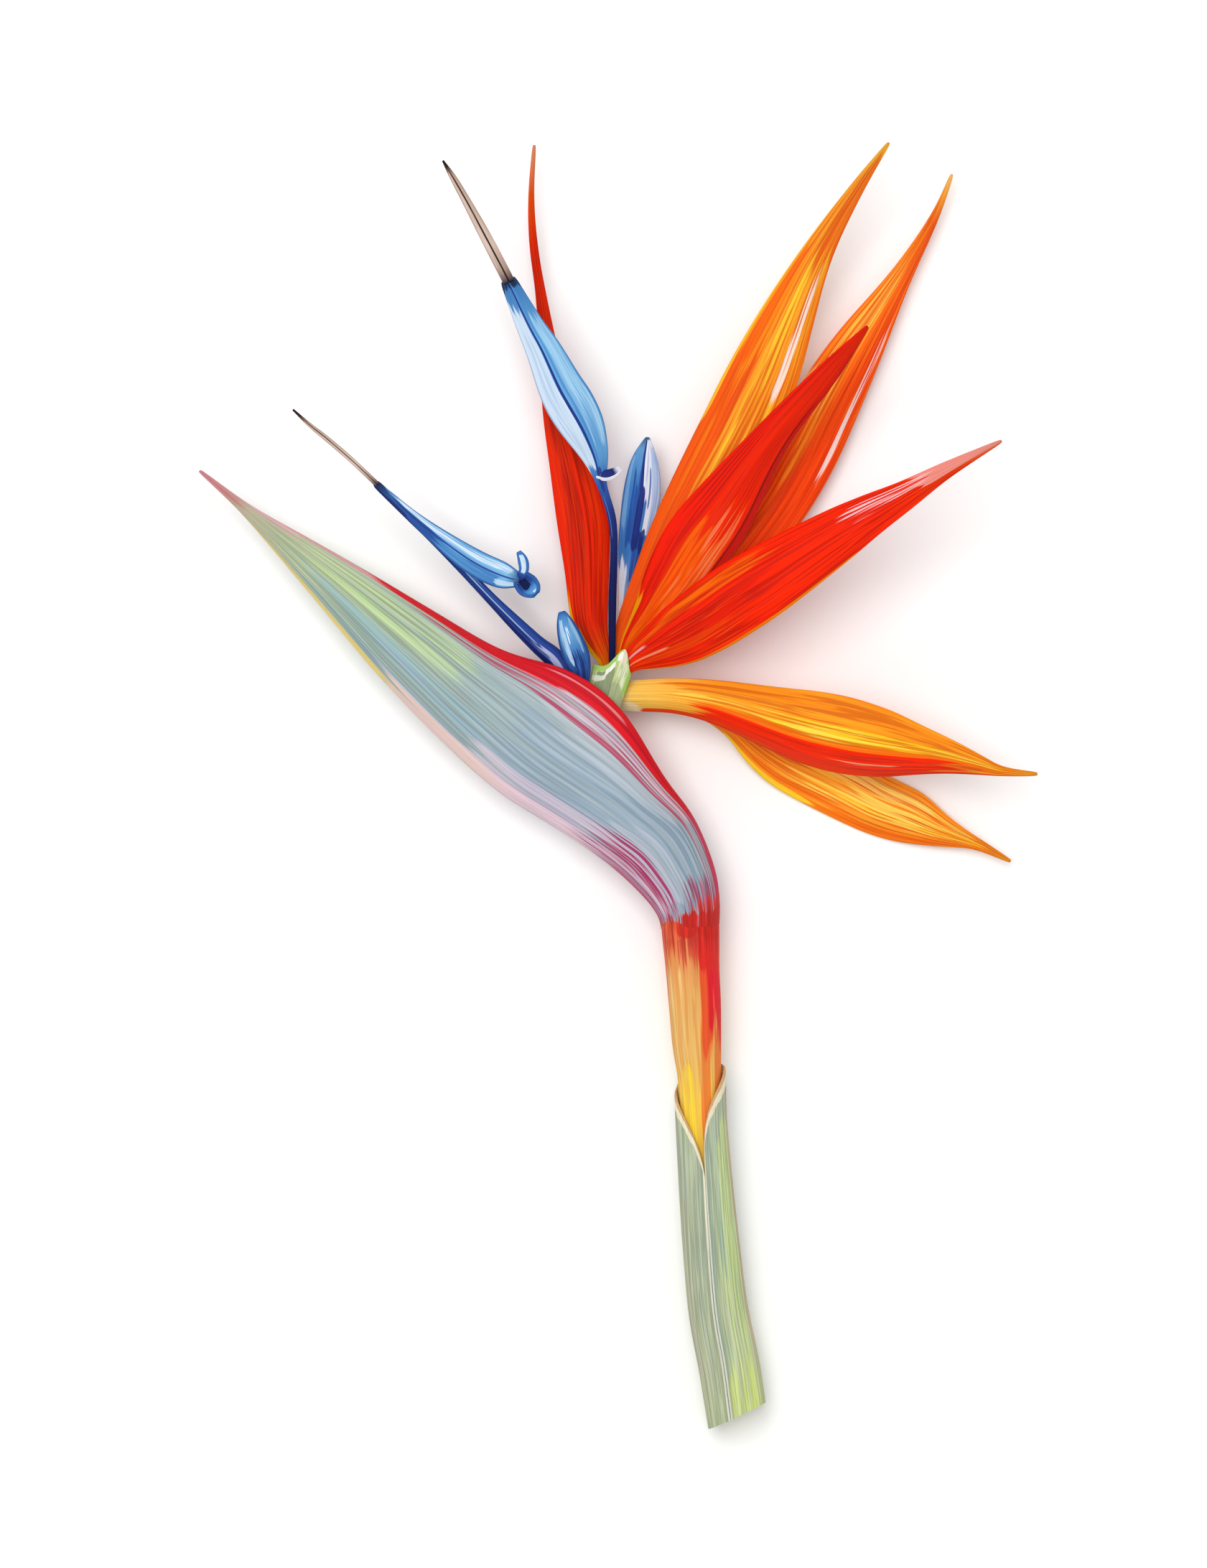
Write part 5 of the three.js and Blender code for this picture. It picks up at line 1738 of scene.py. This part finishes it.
class FLOWER_OT_stage(bpy.types.Operator):
    """Sets the pale surface, the soft light and the camera that looks straight down"""

    bl_idname = "flower.stage"
    bl_label = "Stage"

    def execute(self, context):
        colours = context.scene.flower_colours
        studio = context.scene.flower_studio
        bpy.ops.object.select_all(action="DESELECT")
        bpy.ops.mesh.primitive_plane_add(size=FLOOR_SIZE)
        floor = context.object
        floor.name = "floor"
        # Smooth white paper: quite dull, so it shows soft shadows and no reflections.
        surface = bpy.data.materials.new("smooth_paper")
        surface.use_nodes = True
        shader = surface.node_tree.nodes["Principled BSDF"]
        shader.inputs["Base Color"].default_value = colours.floor
        shader.inputs["Roughness"].default_value = 0.9
        shader.inputs["Specular IOR Level"].default_value = 0.1
        floor.data.materials.append(surface)

        # The camera stands over the middle of the photograph's frame.
        middle_x = (PHOTO_WIDTH / 2 - ORIGIN_PIXEL[0]) * PIXEL
        middle_y = (ORIGIN_PIXEL[1] - PHOTO_HEIGHT / 2) * PIXEL
        height = PHOTO_HEIGHT * PIXEL * studio.lens / LONG_SIDE_OF_SENSOR
        bpy.ops.object.camera_add(location=(middle_x, middle_y, MID_PLANE * MM + height))
        camera = context.object
        camera.data.lens = studio.lens
        camera.data.sensor_width = LONG_SIDE_OF_SENSOR
        camera.data.clip_end = VIEW_DEPTH
        context.scene.camera = camera

        bpy.ops.object.light_add(type="AREA", location=KEY_PLACE)
        key = context.object
        key.name = "key_light"
        key.data.size = KEY_SIZE
        key.data.energy = studio.key
        towards_flower = Vector((0, 0, 0)) - key.location
        key.rotation_euler = towards_flower.to_track_quat("-Z", "Y").to_euler()

        world = bpy.data.worlds.new("even_light")
        world.use_nodes = True
        background = world.node_tree.nodes["Background"]
        background.inputs["Color"].default_value = (1, 1, 1, 1)
        background.inputs["Strength"].default_value = studio.sky
        context.scene.world = world
        context.scene.view_settings.view_transform = "Standard"
        return {"FINISHED"}


OPERATORS = [
    FLOWER_OT_stage,
    FLOWER_OT_stalk,
    FLOWER_OT_sheath,
    FLOWER_OT_spathe,
    FLOWER_OT_bractlet,
    FLOWER_OT_ovaries,
    FLOWER_OT_sepals,
    FLOWER_OT_blue_petals,
    FLOWER_OT_stigmas,
]


class FLOWER_PT_panel(bpy.types.Panel):
    """Lists the flower's pieces in the 3D view's sidebar"""

    bl_label = "Bird of Paradise Flower"
    bl_idname = "FLOWER_PT_panel"
    bl_space_type = "VIEW_3D"
    bl_region_type = "UI"
    bl_category = "Flower"

    def draw(self, context):
        for operator in OPERATORS:
            self.layout.operator(operator.bl_idname)
        for group in (
            context.scene.flower_colours,
            context.scene.flower_sizes,
            context.scene.flower_studio,
        ):
            for name in group.bl_rna.properties.keys():
                if name not in ("rna_type", "name"):
                    self.layout.prop(group, name)


GROUPS = [FlowerColours, FlowerSizes, FlowerStudio]


def register():
    for one in [*GROUPS, *OPERATORS, FLOWER_PT_panel]:
        bpy.utils.register_class(one)
    bpy.types.Scene.flower_colours = bpy.props.PointerProperty(type=FlowerColours)
    bpy.types.Scene.flower_sizes = bpy.props.PointerProperty(type=FlowerSizes)
    bpy.types.Scene.flower_studio = bpy.props.PointerProperty(type=FlowerStudio)


def unregister():
    del bpy.types.Scene.flower_studio
    del bpy.types.Scene.flower_sizes
    del bpy.types.Scene.flower_colours
    for one in reversed([*GROUPS, *OPERATORS, FLOWER_PT_panel]):
        bpy.utils.unregister_class(one)


def main():
    register()
    bpy.ops.flower.stage()
    bpy.ops.flower.stalk()
    bpy.ops.flower.sheath()
    bpy.ops.flower.spathe()
    bpy.ops.flower.bractlet()
    bpy.ops.flower.ovaries()
    bpy.ops.flower.sepals()
    bpy.ops.flower.blue_petals()
    bpy.ops.flower.stigmas()


if __name__ == "__main__":
    main()
